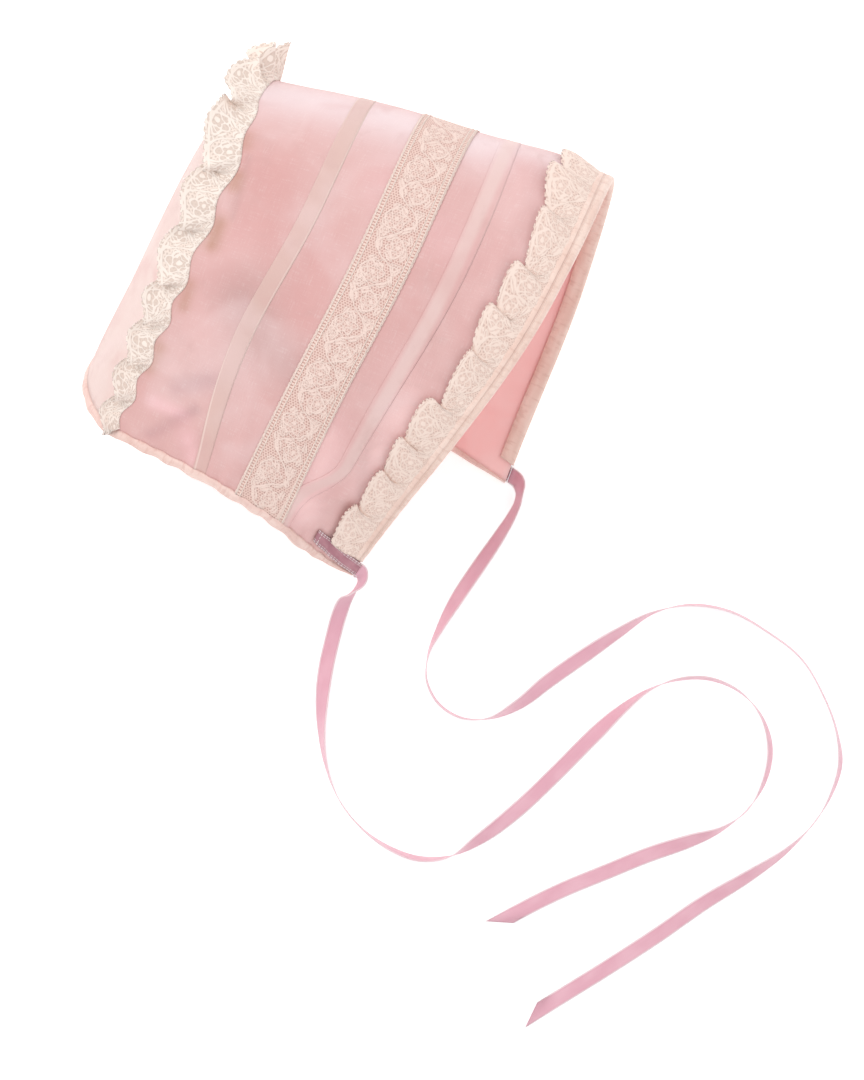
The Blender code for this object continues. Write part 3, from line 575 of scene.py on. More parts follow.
def tabPlaces(nearEdge, rows, columns, offset):
    # where a tie's end is sewn along the neck edge at a front corner
    front = form["depth"] + tab["over"]
    depths = np.linspace(front - tab["length"], front, rows)
    across = tab["inset"] + np.linspace(0, ribbon["width"], columns)
    skew = (tab["skew"] if nearEdge else 0) * np.linspace(1, 0, rows)
    around = np.array([
        [aroundInside(min(d, form["depth"]), nearEdge, x + s) for x in across]
        for d, s in zip(depths, skew)
    ])
    lift = offset + (tab["lift"] if nearEdge else 0)
    return toWorld(layer(np.broadcast_to(depths[:, None], around.shape), around, form["gap"] + lift))


def tieRings(nearEdge, route):
    # the ribbon's centre line and the points across it, as in the CAD but finer
    sewn = tabPlaces(nearEdge, 5, 2, ribbon["cadThick"] / 2)
    end, before = sewn[-1].mean(axis=0), sewn[-2].mean(axis=0)
    onward, sewnWide = unit(end - before), unit(sewn[-1, 0] - sewn[-1, 1])
    route = np.array(route)

    def resting(turn):
        wide, thick = ribbon["width"], ribbon["cadThick"]
        return np.abs(np.sin(turn)) * wide / 2 + np.abs(np.cos(turn)) * thick / 2

    down = resting(math.radians(route[0, 3])) + form["clear"]
    leaving = (form["gap"], form["gap"] + ribbon["leave"])
    first = [[*(end + onward * reach), route[0, 3]] for reach in leaving]
    route = np.concatenate([first - np.array([0, 0, down, 0]), route])
    run = lengthsAlong(route[:, :3])
    rows = smoothCurve(run, route, np.linspace(0, run[-1], ribbon["samples"]))
    turn = np.radians(rows[:, 3])
    centre = np.stack([rows[:, 0], rows[:, 1], rows[:, 2] + resting(turn) + form["clear"]], axis=-1)
    run = lengthsAlong(centre)
    even = np.linspace(0, run[-1], ribbon["rings"])
    centre = np.stack([np.interp(even, run, centre[:, i]) for i in range(3)], axis=-1)
    turn = np.interp(even, run, turn)
    along = unit(np.gradient(centre, axis=0))
    straight = easeStep(1 - even / ribbon["bend"])[:, None]
    along = unit(along * (1 - straight) + onward * straight)
    level = unit(np.cross(np.array([0, 0, 1]), along))
    over = np.cross(along, level)
    wide = level * np.cos(turn)[:, None] + over * np.sin(turn)[:, None]
    held = easeStep(1 - even / ribbon["twist"])[:, None]
    wide = wide * (1 - held) + sewnWide * np.sign(np.dot(sewnWide, wide[0])) * held
    wide = unit(wide - along * np.sum(wide * along, axis=-1, keepdims=True))
    places = np.linspace(ribbon["width"] / 2, -ribbon["width"] / 2, ribbon["columns"])
    points = centre[:, None, :] + wide[:, None, :] * places[None, :, None]
    ending = easeStep((even - (even[-1] - ribbon["ending"])) / ribbon["ending"])[:, None]
    cut = ribbon["cut"] * (-1 if nearEdge else 1)
    points -= (along * ending)[:, None, :] * (places / (ribbon["width"] / 2) * cut)[None, :, None]
    slant = onward - sewnWide * np.dot(onward, sewnWide)
    shift = ((points[0] - centre[0]) @ slant) / np.dot(onward, slant)
    count = ribbon["starting"]
    points[:count] -= onward * shift[None, :, None] * np.linspace(1, 0, count)[:, None, None]
    return centre, points


tab = {
    "length": 36, "inset": 0.5,
    "skew": 2.4,  # the near one slants in from the neck edge by this
    "over": 0.6, "lift": 0.3, "wall": 0.5, "grid": (40, 9), "stitch": 1.7, "crossStitch": 1.5,
    "body": rgb(196, 142, 152), "deep": rgb(176, 120, 132), "thread": rgb(244, 226, 226),
}


def tabPaint():
    # folded satin sewn down with a double row of white stitches and a cross row at its end
    paint = Paint("tabSatin", 0.5, sheen=0.15)
    along, across, edge = paint.lay()
    cloud = paint.streaks(along, across, 0.15, 0.3)
    colour = paint.mix(cloud.step(0.35, 0.7), tab["deep"], tab["body"])
    dash = along.waves(tab["stitch"]).step(-0.75, -0.5)
    rows = (1 - abs(edge - 0.3).step(0.2, 0.34)) + (1 - abs(edge - 1.15).step(0.1, 0.24))
    crossDash = across.waves(tab["crossStitch"]).step(-0.35, -0.1)
    crossRow = (1 - abs(along - 2.2).step(0.14, 0.28)) * crossDash
    stitch = (rows * dash + crossRow).least(1)
    colour = paint.mix(stitch, colour, tab["thread"])
    ribs = along.waves(ribbon["rib"]) * 0.3
    return paint.finish(colour, ribs + stitch * 2 + cloud, 0.00012)


ribbonSatin = satinPaint("ribbonSatin", ribbon)
tabSatin = tabPaint()
for sideName, nearEdge, route, length in (
    ("right", True, rightTie, ribbon["lengthRight"]),
    ("left", False, leftTie, ribbon["lengthLeft"]),
):
    centre, points = tieRings(nearEdge, route)
    node = f"ribbon_{sideName}"
    tie = clothPiece(f"tie_{sideName}", points, ribbonSatin, node, ribbon["thick"], 0)
    wide = ribbon["width"] * mm
    points = tabPlaces(nearEdge, *tab["grid"], tab["wall"])
    clothPiece(f"tie_{sideName}_end", points, tabSatin, f"{node}_tab", tab["wall"])
print("ties laid")


# the panels: sheer cloth over a pink lining that shows through it in soft patches, with painted shade and
# painted highlights laid over them
panel = {
    "aroundSteps": 262, "depthSteps": 96, "wall": 0.5, "underWall": 0.6,
    "cloth": rgb(224, 180, 177), "milky": rgb(240, 214, 214), "warm": rgb(214, 158, 156),
    # grey on the next line is painted shade, laid on in soft clouds
    "paintedShadeGrey": rgb(206, 166, 162), "thin": rgb(255, 246, 244), "flatSide": (0.400, 0.145),
    "flatBack": (0.125, 0.150),
    "areaBack": 0.0125,  # rounded at the top, so less than its width times its length
    "thread": 0.42,
}


# soft strokes of shade on the side cloth, placed to match the photo: from one place to
# another (depth, and millimetres round the head), how far they spread, and how strong they are
# mauve and crease are painted shade in hollows and creases, tan is painted shadow beside the back frill's
# foot, milk is painted sheen along the crown, blush is painted light on the lower part of the side, and
# the bright strip between the crease strokes is a painted highlight
rose, deepRose, paintedShadeMauve = rgb(230, 182, 180), rgb(218, 164, 161), rgb(196, 156, 153)
paintedSheenMilk, bright, paintedShadowTan = rgb(240, 216, 218), rgb(240, 192, 194), rgb(196, 150, 132)
crease, paintedLightBlush = rgb(184, 142, 146), rgb(252, 210, 208)
shades = table(
    "Shade", "depthA runA depthB runB spread colour share",
    (-5, 166, 145, 160, 17, paintedSheenMilk, 1), (60, 200, 95, 215, 10, bright, 0.35),
    (110, 175, 125, 240, 16, rose, 0.6), (18, 210, 30, 236, 16, deepRose, 0.8),
    (16, 245, 22, 275, 14, rose, 0.7), (30, 262, 56, 282, 13, paintedShadeMauve, 0.75),
    (48, 232, 56, 262, 10, deepRose, 0.6), (88, 225, 90, 270, 9, deepRose, 0.5),
    (84, 300, 90, 328, 9, bright, 0.8), (100, 262, 112, 282, 8, rose, 0.6),
    (52, 295, 58, 335, 9, deepRose, 0.35), (2, 312, 12, 326, 8, deepRose, 0.3),
    (114, 280, 122, 330, 14, paintedLightBlush, 0.9), (86, 302, 92, 330, 8, paintedLightBlush, 0.8),
    (12, 322, 25, 321, 3.4, bright, 1), (30, 330, 34, 336, 5, bright, 0.9),
    (19, 312, 33, 301, 3.6, crease, 0.42), (24, 306, 36, 300, 5.5, crease, 0.25),
    (15, 336, 30, 316, 2.8, crease, 0.42), (9.5, 205, 13.5, 232, 1.6, paintedShadeMauve, 0.4),
    (5.5, 196, 6.5, 200, 2.6, paintedShadowTan, 0.6), (8.5, 214, 9, 219, 2.8, paintedShadowTan, 0.75),
    (9.5, 236, 10.5, 246, 3.4, paintedShadowTan, 0.85), (8.5, 266, 9.5, 276, 3, paintedShadowTan, 0.7),
    (6.5, 298, 6, 308, 3, paintedShadowTan, 0.65), (4, 200, 4.5, 310, 2.2, paintedShadowTan, 0.22),
)


aroundAll = overHead(panel["aroundSteps"])
runs = lengthsAlong(cloth(form["middle"], aroundAll))[:, None]


def shadedCloth(depths):
    # the colour of each point, with aroundAll down the rows, laid on like soft brush strokes, some of
    # them painted shade, shadow, sheen and light
    colour = np.empty((*depths.shape, 3))
    colour[:] = panel["cloth"][:3]
    for shade in shades:
        dx, dy = shade.depthB - shade.depthA, shade.runB - shade.runA
        length = max(dx * dx + dy * dy, 1e-6)
        t = np.clip(((depths - shade.depthA) * dx + (runs - shade.runA) * dy) / length, 0, 1)
        away = np.hypot(depths - shade.depthA - t * dx, runs - shade.runA - t * dy)
        share = shade.share * np.exp(-((away / shade.spread) ** 2))[..., None]
        colour = colour * (1 - share) + np.array(shade.colour[:3]) * share
    return colour


def clouded(paint, colour):
    # soft clouds where the sheer cloth and the pink one under it touch or part, and grey clouds of
    # painted shade
    where = paint.where()
    patch = paint.noise(where, 34, 2, 0.45, 0.8)
    cloud = paint.noise(where, 85, 3, 0.5, 0.5)
    colour = paint.mix(patch.step(0.45, 0.75) * 0.35, colour, panel["milky"])
    colour = paint.mix(patch.step(0.5, 0.28) * 0.28, colour, panel["warm"])
    # painted shade: grey clouds
    return paint.mix(cloud.step(0.52, 0.78) * 0.25, colour, panel["paintedShadeGrey"])


def sheerPaint(name, body=None):
    # organza over pink, with fine threads and slubs both ways
    paint = Paint(name, 0.62, sheen=0.12, specular=0.15)
    along, across, edge = paint.lay()
    slub = paint.streaks(along, across, 0.16, 1.9)
    slubAcross = paint.streaks(along, across, 1.9, 0.16)
    colour = clouded(paint, body or paint.tone())
    weave = threads(along, across, panel["thread"])
    colour = paint.mix(weave.step(0.2, 0.9) * 0.06, colour, panel["thin"])
    colour = paint.mix((slub + slubAcross).step(1.02, 1.35) * 0.14, colour, panel["thin"])
    height = weave * 0.35 + slub * 0.7 + slubAcross * 0.7
    return paint.finish(colour, height, 0.00008, roughness=0.54 + slub * 0.12)


lining = {
    "start": 2.5,  # how far in front of the back seam the side lining begins
    "grid": (150, 56),
    "rows": (0.02, 13 / 15),  # from where to where the back lining reaches up the dome
    "drawn": 3.2,  # how far it is drawn in at its sides
    "glowStrength": 0.06, "cloth": rgb(252, 200, 197), "deep": rgb(246, 186, 183),
    "light": rgb(255, 212, 209), "glow": rgb(255, 176, 178),
}


def liningPaint(name):
    # the thin cloth glows a little, as light comes through it from outside
    glow = {"Emission Color": lining["glow"], "Emission Strength": lining["glowStrength"]}
    paint = Paint(name, 0.6, sheen=0.2, specular=0.25, **glow)
    where = paint.where()
    along, across, edge = paint.lay()
    cloud = paint.noise(where, 40, 3, 0.5, 0.4)
    weave = threads(along, across, 0.5)
    colour = paint.mix(cloud.step(0.35, 0.7), lining["cloth"], lining["light"])
    colour = paint.mix(cloud.step(0.5, 0.3) * 0.6, colour, lining["deep"])
    return paint.finish(colour, weave * 0.4 + cloud * 0.8, 0.00012)


sheerCloth = sheerPaint("sheerCloth")
# the back panel's paler colour is partly its own and partly painted sheen, as sheer cloth whitens when
# seen at a grazing angle
backSheer = sheerPaint("backSheer", rgb(232, 208, 202))
pinkLining = liningPaint("pinkLining")

around, depths = np.meshgrid(aroundAll, np.linspace(0, form["depth"], panel["depthSteps"]), indexing="ij")
points, tone = toWorld(layer(depths, around, 0)), shadedCloth(depths)
side = clothPiece("side_cloth", points, sheerCloth, "side_panel", panel["wall"], tone=tone)

liningTop = -form["cloth"] - form["gap"]
count, rows = lining["grid"]
depths = np.linspace(lining["start"], form["depth"], rows)
points = toWorld(layer(depths, overHead(count)[:, None], liningTop))
underWall = panel["underWall"]
sideUnder = clothPiece("side_lining_cloth", points, pinkLining, "side_lining", underWall)

points = toWorld(backLayer(np.linspace(0, 1, 60), np.linspace(0, 1, 70)[:, None], 0))
back = clothPiece("back_cloth", points, backSheer, "back_panel", panel["wall"])

rowsIn = np.linspace(*lining["rows"], 44)
chord = np.linalg.norm(backCloth(rowsIn, 1) - backCloth(rowsIn, 0), axis=-1)
drawn = lining["drawn"] / np.maximum(chord, lining["drawn"])
acrossIn = drawn + (1 - 2 * drawn) * np.linspace(0, 1, 50)[:, None]
points = toWorld(backLayer(rowsIn, acrossIn, liningTop))
backUnder = clothPiece("back_lining_cloth", points, pinkLining, "back_lining", underWall)
print("panels and linings cut")


# the two pressed tucks, each a fold of the sheer cloth lying on the side
tuck = {
    "wall": 0.03,
    "low": 0.06,  # its two layers, off the cloth
    "high": 0.16, "seam": 0.02,
    "shorter": 1,  # its under layer stops this far from the seam
    "length": 0.341,
    "back": 14,  # how far the front tuck is drawn backwards near the near neck edge
    "bend": (2.72, 0.22),
}
# a row is one tuck: where it lies, how soft its edges are, how strongly it shows, and its colours
tucks = table(
    "Tuck", "name start end soft share edge cloth fold",
    ("rear_tuck", 35.5, 42.5, 0.1, 0.75, 0.6, rgb(222, 190, 181), rgb(242, 218, 209)),
    ("front_tuck", 95, 103, 2.6, 0.66, 0, rgb(236, 208, 203), rgb(236, 208, 203)),
)


def tuckPaint(look):
    # one more layer of the sheer cloth: paler than the cloth round it, with light edges or soft ones
    paint = Paint(f"{look.name}_cloth", 0.6, sheen=0.1, specular=0.15)
    along, across, edge = paint.lay()
    wide = look.end - look.start
    over = abs(across - wide + tuck["shorter"])  # the same on both layers
    side = over.least(abs(over - wide))
    colour = clouded(paint, paint.tone())
    veil = clouded(paint, look.cloth)
    colour = paint.mix(side.step(0, look.soft) * look.share, colour, veil)
    colour = paint.mix(side.step(0.45, 0.2) * look.edge, colour, look.fold)
    weave = threads(along, across, panel["thread"])
    colour = paint.mix(weave.step(0.2, 0.9) * 0.06, colour, panel["thin"])
    return paint.finish(colour, weave * 0.4, 0.00008)


for look in tucks:
    # from near the seam under the tuck to its folded edge, and back over it down to the seam
    under = np.linspace(look.end - tuck["shorter"], look.start + 0.1, 8)
    over = np.append(under[::-1], look.end)
    depths = np.concatenate([under, [look.start], over])
    middle, flatOver = (tuck["low"] + tuck["high"]) / 2, np.full(8, tuck["high"])
    offsets = np.concatenate([np.full(8, tuck["low"]), [middle], flatOver, [tuck["seam"]]])
    around, depths = np.meshgrid(aroundAll, depths, indexing="ij")
    if look.name == "front_tuck":
        bendStart, bendLength = tuck["bend"]
        depths = depths - tuck["back"] * easeStep((around - bendStart) / bendLength)
    points, tone = toWorld(layer(depths, around, offsets)), shadedCloth(depths)
    name, paint = f"{look.name}_fold", tuckPaint(look)
    fold = clothPiece(name, points, paint, look.name, tuck["wall"], tone=tone)


# the lace that is let in over the head: a net with flowers and scrolls between two corded edges
lace = {
    "start": 62, "end": 85, "wall": 0.12, "off": 0.42,
    "net": 1.15,  # from hole to hole
    "steps": 420,
    "scallop": (0.35, 2.6 / 0.95),  # how deep, and how many rows for one
    "cordDepths": (62.9, 64.7, 82.3, 84.1),
    "cord": 0.27,  # the radius of the cords along its edges
    "repeat": 23, "thread": rgb(246, 224, 214), "shade": rgb(230, 198, 188),
    "hole": rgb(212, 168, 158), "flat": (0.345, 0.024),
}


# share of the repeat, height above the middle, then size and petals, or tilt
laceFlowers = ((0.26, -2, 4.7, 6), (0.74, 2.6, 4.3, 5), (0.5, -5.2, 2.2, 5), (0.02, 5, 2.3, 5))
laceLeaves = (
    (0.1, -1, 0.9), (0.43, 3.2, -0.8), (0.6, -1.2, -1), (0.92, 0.6, 0.8), (0.38, -6.4, 0.3),
    (0.86, 6.6, -0.3), (0.14, 6.2, -0.5), (0.64, -6.4, 0.5), (0.02, -4.4, -0.6), (0.55, 6.4, 0.2),
    (0.3, 5.6, 0.6), (0.78, -4, 0.4),
)


def netHeight(along, across, pitch):
    # three waves at 60 degrees peak over each hole of a hexagon net
    k = 4 * math.pi / (math.sqrt(3) * pitch)
    slant = across * (k * math.sqrt(3) / 2)
    half = along * (k / 2)
    return (along * k).cosine() + (half + slant).cosine() + (half - slant).cosine()


def ring(distance, radius, half):
    return abs(distance - radius).step(half + 0.16, half - 0.06)


def flower(paint, dx, dy, size, petalCount=5, turn=0):
    # an open flower: an outer and an inner scalloped outline, veins between them, and an eye
    distance = (dx * dx + dy * dy) ** 0.5
    angle = paint.node("Math", {"operation": "ARCTAN2"}, {0: dy, 1: dx})
    lobes = (angle * petalCount + turn).cosine()
    outer = ring(distance, lobes * (0.13 * size) + 0.87 * size, 0.30)
    inner = ring(distance, lobes * (-0.08 * size) + 0.50 * size, 0.26)
    between = (distance - 0.5 * size).step(-0.1, 0.1) * distance.step(0.8 * size, 0.7 * size)
    veins = lobes.step(-0.55, -0.8) * between
    eye = distance.step(0.26 * size, 0.18 * size)
    filled = (distance - lobes * (0.13 * size)).step(0.87 * size, 0.80 * size) * 0.3
    return outer.most(inner).most(veins).most(eye).most(filled)


def laceDesign(paint, along, across, length):
    # open flowers between two scrolls, with leaves, in a repeat of this length
    u = along % length
    bend = along.waves(length)
    mask = ring(across - bend * 5.6, 0, 0.55).most(ring(across + bend * 6.2 + 1, 0, 0.42))
    for place, high, size, count in laceFlowers:
        mask = mask.most(flower(paint, u - length * place, across - high, size, count, place * 9))
    for place, high, tilt in laceLeaves:
        dx, dy = u - length * place, across - high
        longWay = dx * math.cos(tilt) + dy * math.sin(tilt)
        wideWay = dy * math.cos(tilt) - dx * math.sin(tilt)
        leaf = (longWay / 2.3) ** 2 + (wideWay / 1.05) ** 2
        mask = mask.most(leaf.step(1.2, 0.8) * (1 - abs(wideWay).step(0.28, 0.12) * 0.6))
    return mask


def wavering(paint, along, across, reach, size):
    # the uneven drawing of a worn lace: both ways are pushed about by soft noise
    where = paint.vector(along / size, across / size)
    inputs = {"Vector": where, "Scale": 1, "Detail": 2, "Roughness": 0.6}
    push = paint.node("TexNoise", None, inputs, output="Color")
    split = [paint.node("SeparateXYZ", None, {0: push}, i) for i in range(2)]
    return along + (split[0] - 0.5) * (2 * reach), across + (split[1] - 0.5) * (2 * reach)


def lacePaint():
    paint = Paint("bandLace", 0.75, sheen=0.1, specular=0.1)
    along, across, edge = paint.lay()
    middle = across - (lace["end"] - lace["start"]) / 2
    sway, rise = wavering(paint, along, middle, 1.5, 6)
    netAlong, netAcross = wavering(paint, along, middle, 0.35, 3)
    net = netHeight(netAlong, netAcross, lace["net"])
    hole = net.step(0.15, 0.75)
    design = laceDesign(paint, sway, rise, lace["repeat"])
    margin = abs(middle).step(8.7, 8.9)
    ladder = netAlong.waves(1.3).step(0.1, 0.5) * edge.step(0.8, 1) * edge.step(2.3, 2.1)
    gap = (hole * (1 - design) * (1 - margin)).most(ladder * margin)
    hatch = ((along * 5.2 + across * 5.2).sine() * 0.5 + 0.5) * design
    fade = paint.noise(paint.vector(along / 9, across / 9), 1, 2)
    colour = paint.mix(design * 0.5 + margin * 0.4 + fade * 0.3, lace["shade"], lace["thread"])
    colour = paint.mix(gap * 0.9, colour, lace["hole"])
    height = (1 - net.step(-0.4, 0.9)) * 0.5 + design * 1 + hatch * 0.25 + margin * 0.3
    return paint.finish(colour, height, 0.00016, alpha=1 - gap * 0.15)


bandLace = lacePaint()
deep, length = lace["scallop"]
hollow = deep - deep * np.abs(np.sin(np.arange(lace["steps"]) * math.pi / length))[:, None]
share = np.linspace(0, 1, 17)
depths = (lace["start"] + hollow) * (1 - share) + (lace["end"] - hollow) * share
points = toWorld(layer(depths, overHead(lace["steps"])[:, None], lace["off"]))
band = clothPiece("lace_strip", points, bandLace, "lace_band", lace["wall"])


def cordPaint():
    paint = Paint("laceCord", 0.7, sheen=0.2, specular=0.15)
    along, across, edge = paint.lay()
    twist = (along * 4.2 + across * 2.6).sine()
    # painted highlight: lighter on the crests of the twist
    colour = paint.mix(twist.step(-0.6, 0.6), lace["thread"], rgb(252, 236, 226))
    return paint.finish(colour, twist, 0.00012)


rods = []
for depth in lace["cordDepths"]:
    core = toWorld(layer(depth, aroundAll, lace["off"] + 0.05))
    out = unit(toWorld(layer(depth, aroundAll, 2)) - core)
    ahead = unit(np.gradient(core, axis=0))
    aside = np.cross(out, ahead)
    turns = np.linspace(0, 2 * math.pi, 7)[:-1]
    ways = [(out * math.cos(t) + aside * math.sin(t)) * lace["cord"] for t in turns]
    rods.append(np.stack([core + way for way in ways], axis=1))
rodPiece("lace_cords", rods, cordPaint())
print("tucks and lace band laid on")


# the satin bindings on the face edge and the neck edge
binding = {
    "wall": 0.35, "width": 5.2, "neckWidth": 3.9,
    "neckOver": 0.4,  # how far it reaches over the cloth's edge
    "neckTip": 1, "neckOut": 1, "neckIn": 2.6, "corner": 5, "freeEnd": 7.6, "steps": 380,
    "tip": 36,  # the length over which it narrows to its tip
    "stitch": 1.6, "rib": 0.3,
}


# the face edge is ivory, the neck edge pinker with the cloth shining through
faceLook = {"body": rgb(239, 206, 193), "deep": rgb(222, 184, 170), "light": rgb(248, 222, 210)}
neckLook = {"body": rgb(236, 200, 191), "deep": rgb(222, 178, 168), "light": rgb(246, 218, 209)}


def bindingPaint(name, grooveAt, look):
    # folded satin with small puckers, painted shade in their hollows, a seam line and a bright folded
    # edge
    paint = Paint(name, 0.5, sheen=0.15, specular=0.35)
    along, across, edge = paint.lay()
    pucker = paint.streaks(along, across, 0.55, 0.16, 3, 0.55)
    cloud = paint.streaks(along, across, 0.06, 0.2)
    colour = paint.mix(cloud.step(0.3, 0.7), look["body"], look["light"])
    # painted shade: darker where the puckers dip
    colour = paint.mix(pucker.step(0.5, 0.32) * 0.5, colour, look["deep"])
    seam = 1 - abs(across - grooveAt).step(0.1, 0.5)
    colour = paint.mix(seam * 0.45, colour, look["deep"])
    row = 1 - abs(across - grooveAt - 0.7).step(0.1, 0.2)
    dash = along.waves(binding["stitch"]).step(-0.2, 0.1) * row
    colour = paint.mix(dash * 0.8, colour, look["light"])
    height = pucker * 3 - seam * 2 + along.waves(binding["rib"]) * 0.2 + dash
    return paint.finish(colour, height, 0.00012)


faceSatin = bindingPaint("faceSatin", 2.6, faceLook)
rear, front = form["depth"] - binding["width"], form["depth"] + form["gap"]
within = -2 * form["cloth"] - form["gap"]
# depth and offset across the binding, from its outer hem over the edge to its inner hem
bindingProfile = np.array((
    (rear - 0.3, 0.56), (rear, 0.72), (rear + 0.6, 0.86), (rear + 1.6, 0.9), (rear + 2.2, 0.86),
    (rear + 2.6, 0.76), (rear + 3, 0.88), (rear + 3.8, 1), (front - 0.6, 0.95), (front + 0.2, 0.5),
    (front + 0.6, -0.3), (front + 0.7, within / 2), (front + 0.6, within + 0.3),
    (front + 0.2, within - 0.5), (front - 0.6, within - 0.95), (front - 3, within - 1),
    (rear + 0.3, within - 1), (rear, within - 0.6),
))
start = aroundInside(form["depth"], False, binding["freeEnd"])
end = aroundInside(form["depth"], True, binding["freeEnd"])
steps = np.arange(binding["steps"])
aroundFace = evenlyAround(form["depth"], start, end, len(steps))[:, None]
profileDepth, profileOffset = bindingProfile.T
pucker = 0.12 * np.sin(steps * 0.9 + 1.3 * np.sin(steps * 0.23))[:, None] - 0.12
pucker = pucker * ramp(aroundFace, 1, 0.2)
offsets = profileOffset + pucker * np.sign(profileOffset - within / 2)
points = toWorld(layer(profileDepth, aroundFace, offsets))
face = clothPiece("face_binding_satin", points, faceSatin, "face_binding", binding["wall"])


def neckFrames():
    # points of the neck edge with the directions out of the cloth's edge and out of its face
    middle = (binding["neckOut"] - binding["neckIn"]) / 2
    ahead = np.linspace(binding["corner"], form["depth"], 90)
    across = np.linspace(0.01, 0.99, 64)
    small = 0.02

    def sideEdge(depths, edge, inside):
        out = cloth(depths, edge) - cloth(depths, inside)
        return layer(depths, edge, middle), out, outward(cloth, depths, edge)

    far = sideEdge(ahead[::-1], 0, small)
    near = sideEdge(ahead, 3, 3 - small)
    back = (
        backLayer(0, across, middle),
        backCloth(0, across) - backCloth(small, across),
        backLayer(0, across, 1) - backLayer(0, across, 0),
    )
    points, outs, faces = (np.concatenate(parts) for parts in zip(far, back, near))
    depth = np.concatenate([ahead[::-1], np.zeros(len(across)), ahead])
    return points, unit(outs), faces, depth


def smoothed(values, times):
    for _ in range(times):
        middle = (values[:-2] + 2 * values[1:-1] + values[2:]) / 4
        values = np.concatenate([values[:1], middle, values[-1:]])
    return values


points, out, outer, depth = neckFrames()
points, out = smoothed(points, 4), unit(smoothed(out, 10))
tip = ramp(depth, form["depth"] - binding["tip"], binding["tip"])[:, None]
wide = binding["neckWidth"] + (binding["neckTip"] - binding["neckWidth"]) * tip
run = lengthsAlong(points)[:, None]
swell = np.sin(run / 2.1 + np.sin(run / 7))
wide = wide * (1 + 0.1 * swell * (1 - tip))
along = unit(np.gradient(points, axis=0))
out = unit(out - along * np.sum(out * along, axis=-1, keepdims=True))
faceWay = np.cross(out, along)
faceWay = faceWay * np.sign(np.sum(faceWay * outer, axis=-1, keepdims=True))
high = (binding["neckOut"] + binding["neckIn"]) / 2 * (1 - 0.07 * np.abs(swell))
rings = []
for turn in np.linspace(0, 2 * math.pi, 19)[:-1]:
    w = 0.5 + 0.5 * np.sign(np.cos(turn)) * abs(np.cos(turn)) ** 0.7
    h = np.sign(np.sin(turn)) * abs(np.sin(turn)) ** 0.7
    rings.append(points + out * (w * wide - binding["neckOver"]) + faceWay * (h * high))
rings = np.stack(rings, axis=1)
rings[..., 2] = np.maximum(rings[..., 2], 0.02)
neckSatin = bindingPaint("neckSatin", -5, neckLook)
rodPiece("neck_binding_satin", [toWorld(rings)], neckSatin, "neck_binding")
print("bindings sewn on")


# the gathered lace at the face: a row of pleats folded back over the binding's hem
frill = {
    "repeat": 19, "teeth": 17, "stepsPerTooth": 36, "columns": 18, "base": 136.6, "short": 11.5,
    "long": 18.5,
    "fold": 0.33,  # how far each lobe is pushed back over the one before, in lobes
    "lower": 0.28,  # how much wider it lies near the near tie
    "foot": 0.16, "lift": 2.3, "least": 0.25, "wall": 0.2, "width": 15,
    "full": 1.5,  # its own length for each length of the edge
    "thread": rgb(245, 225, 214), "shade": rgb(233, 206, 194), "hole": rgb(218, 184, 172),
    "outline": 0.25, "net": 1.2,
}


def frillPaint(name, look, holes):
    # fine net with flowers, whipped gathers at its foot and a row of loops at its free edge
    paint = Paint(name, 0.75, sheen=0.1, specular=0.1)
    width = look["width"]
    along, across, edge = paint.lay()
    sway, rise = wavering(paint, along, across, 1.2, 5)
    netAlong, netAcross = wavering(paint, along, across, 0.35, 3)
    net = netHeight(netAlong, netAcross, frill["net"])
    design = laceDesign(paint, sway, rise - width / 2, frill["repeat"])
    band = across.step(width - 2.3, width - 2) * across.step(width - 1.1, width - 1.4)
    solid = design.most(band)
    hole = net.step(0.25, 0.85) * (1 - solid)
    outline = solid.step(0.05, 0.35) * solid.step(0.95, 0.6)
    loops = (along * (2 * math.pi / 1.9)).cosine()
    picot = across.step(width - 0.55, width - 0.35) * loops.step(0, 0.5)
    fade = paint.noise(paint.vector(along / 7, across / 7), 1, 2)
    colour = paint.mix(solid * 0.6 + fade * 0.4, look["shade"], look["thread"])
    colour = paint.mix((hole * 0.6).most(outline * look["outline"]), colour, look["hole"])
    height = (1 - net.step(-0.4, 0.9)) * 0.2 + solid * 0.9
    return paint.finish(colour, height, 0.00014, alpha=1 - (hole * holes).most(picot))


def frillLay(run, levels, look):
    # the lace's own length and width, so that its pattern is the same in every fold
    along, across = np.meshgrid(run * look["full"], levels * look["width"], indexing="ij")
    return np.stack([along, across, np.minimum(across, look["width"] - across)], axis=-1)


faceLace = frillPaint("faceLace", frill, 0.12)
count = frill["teeth"] * frill["stepsPerTooth"] + 1
aroundFrill = evenlyAround(frill["base"], start, end, count)
tooth = np.arange(count) / frill["stepsPerTooth"]
turn = 2 * math.pi * (tooth + 0.10 * np.sin(tooth * 1.7) - 0.12)
raised = ramp(aroundFrill, 1.05, 0.3)
wideness = (0.5 + 0.5 * np.cos(turn - 2.2)) ** 0.8
high = 0.5 + 0.5 * np.sin(turn)
uneven = 1 + 0.1 * np.sin(tooth * 2.3 + 1) + frill["lower"] * ramp(aroundFrill, 2.3, 0.5)
reach = (frill["short"] + (frill["long"] - frill["short"]) * wideness) * uneven
lift = frill["lift"] * raised * (frill["least"] + (1 - frill["least"]) * high)
t = np.linspace(0, 1, frill["columns"])
arch = np.sin(t * math.pi * 0.62)
depths = frill["base"] - t * reach[:, None]
pushed = tooth[:, None] - frill["fold"] * (np.sin(turn) * raised)[:, None] * t**1.2
around = np.interp(pushed, tooth, aroundFrill)
pleats = 0.45 * np.cos(turn * 4 + 1.2 * np.sin(tooth * 1.9))[:, None] * (t * (1.2 - t))
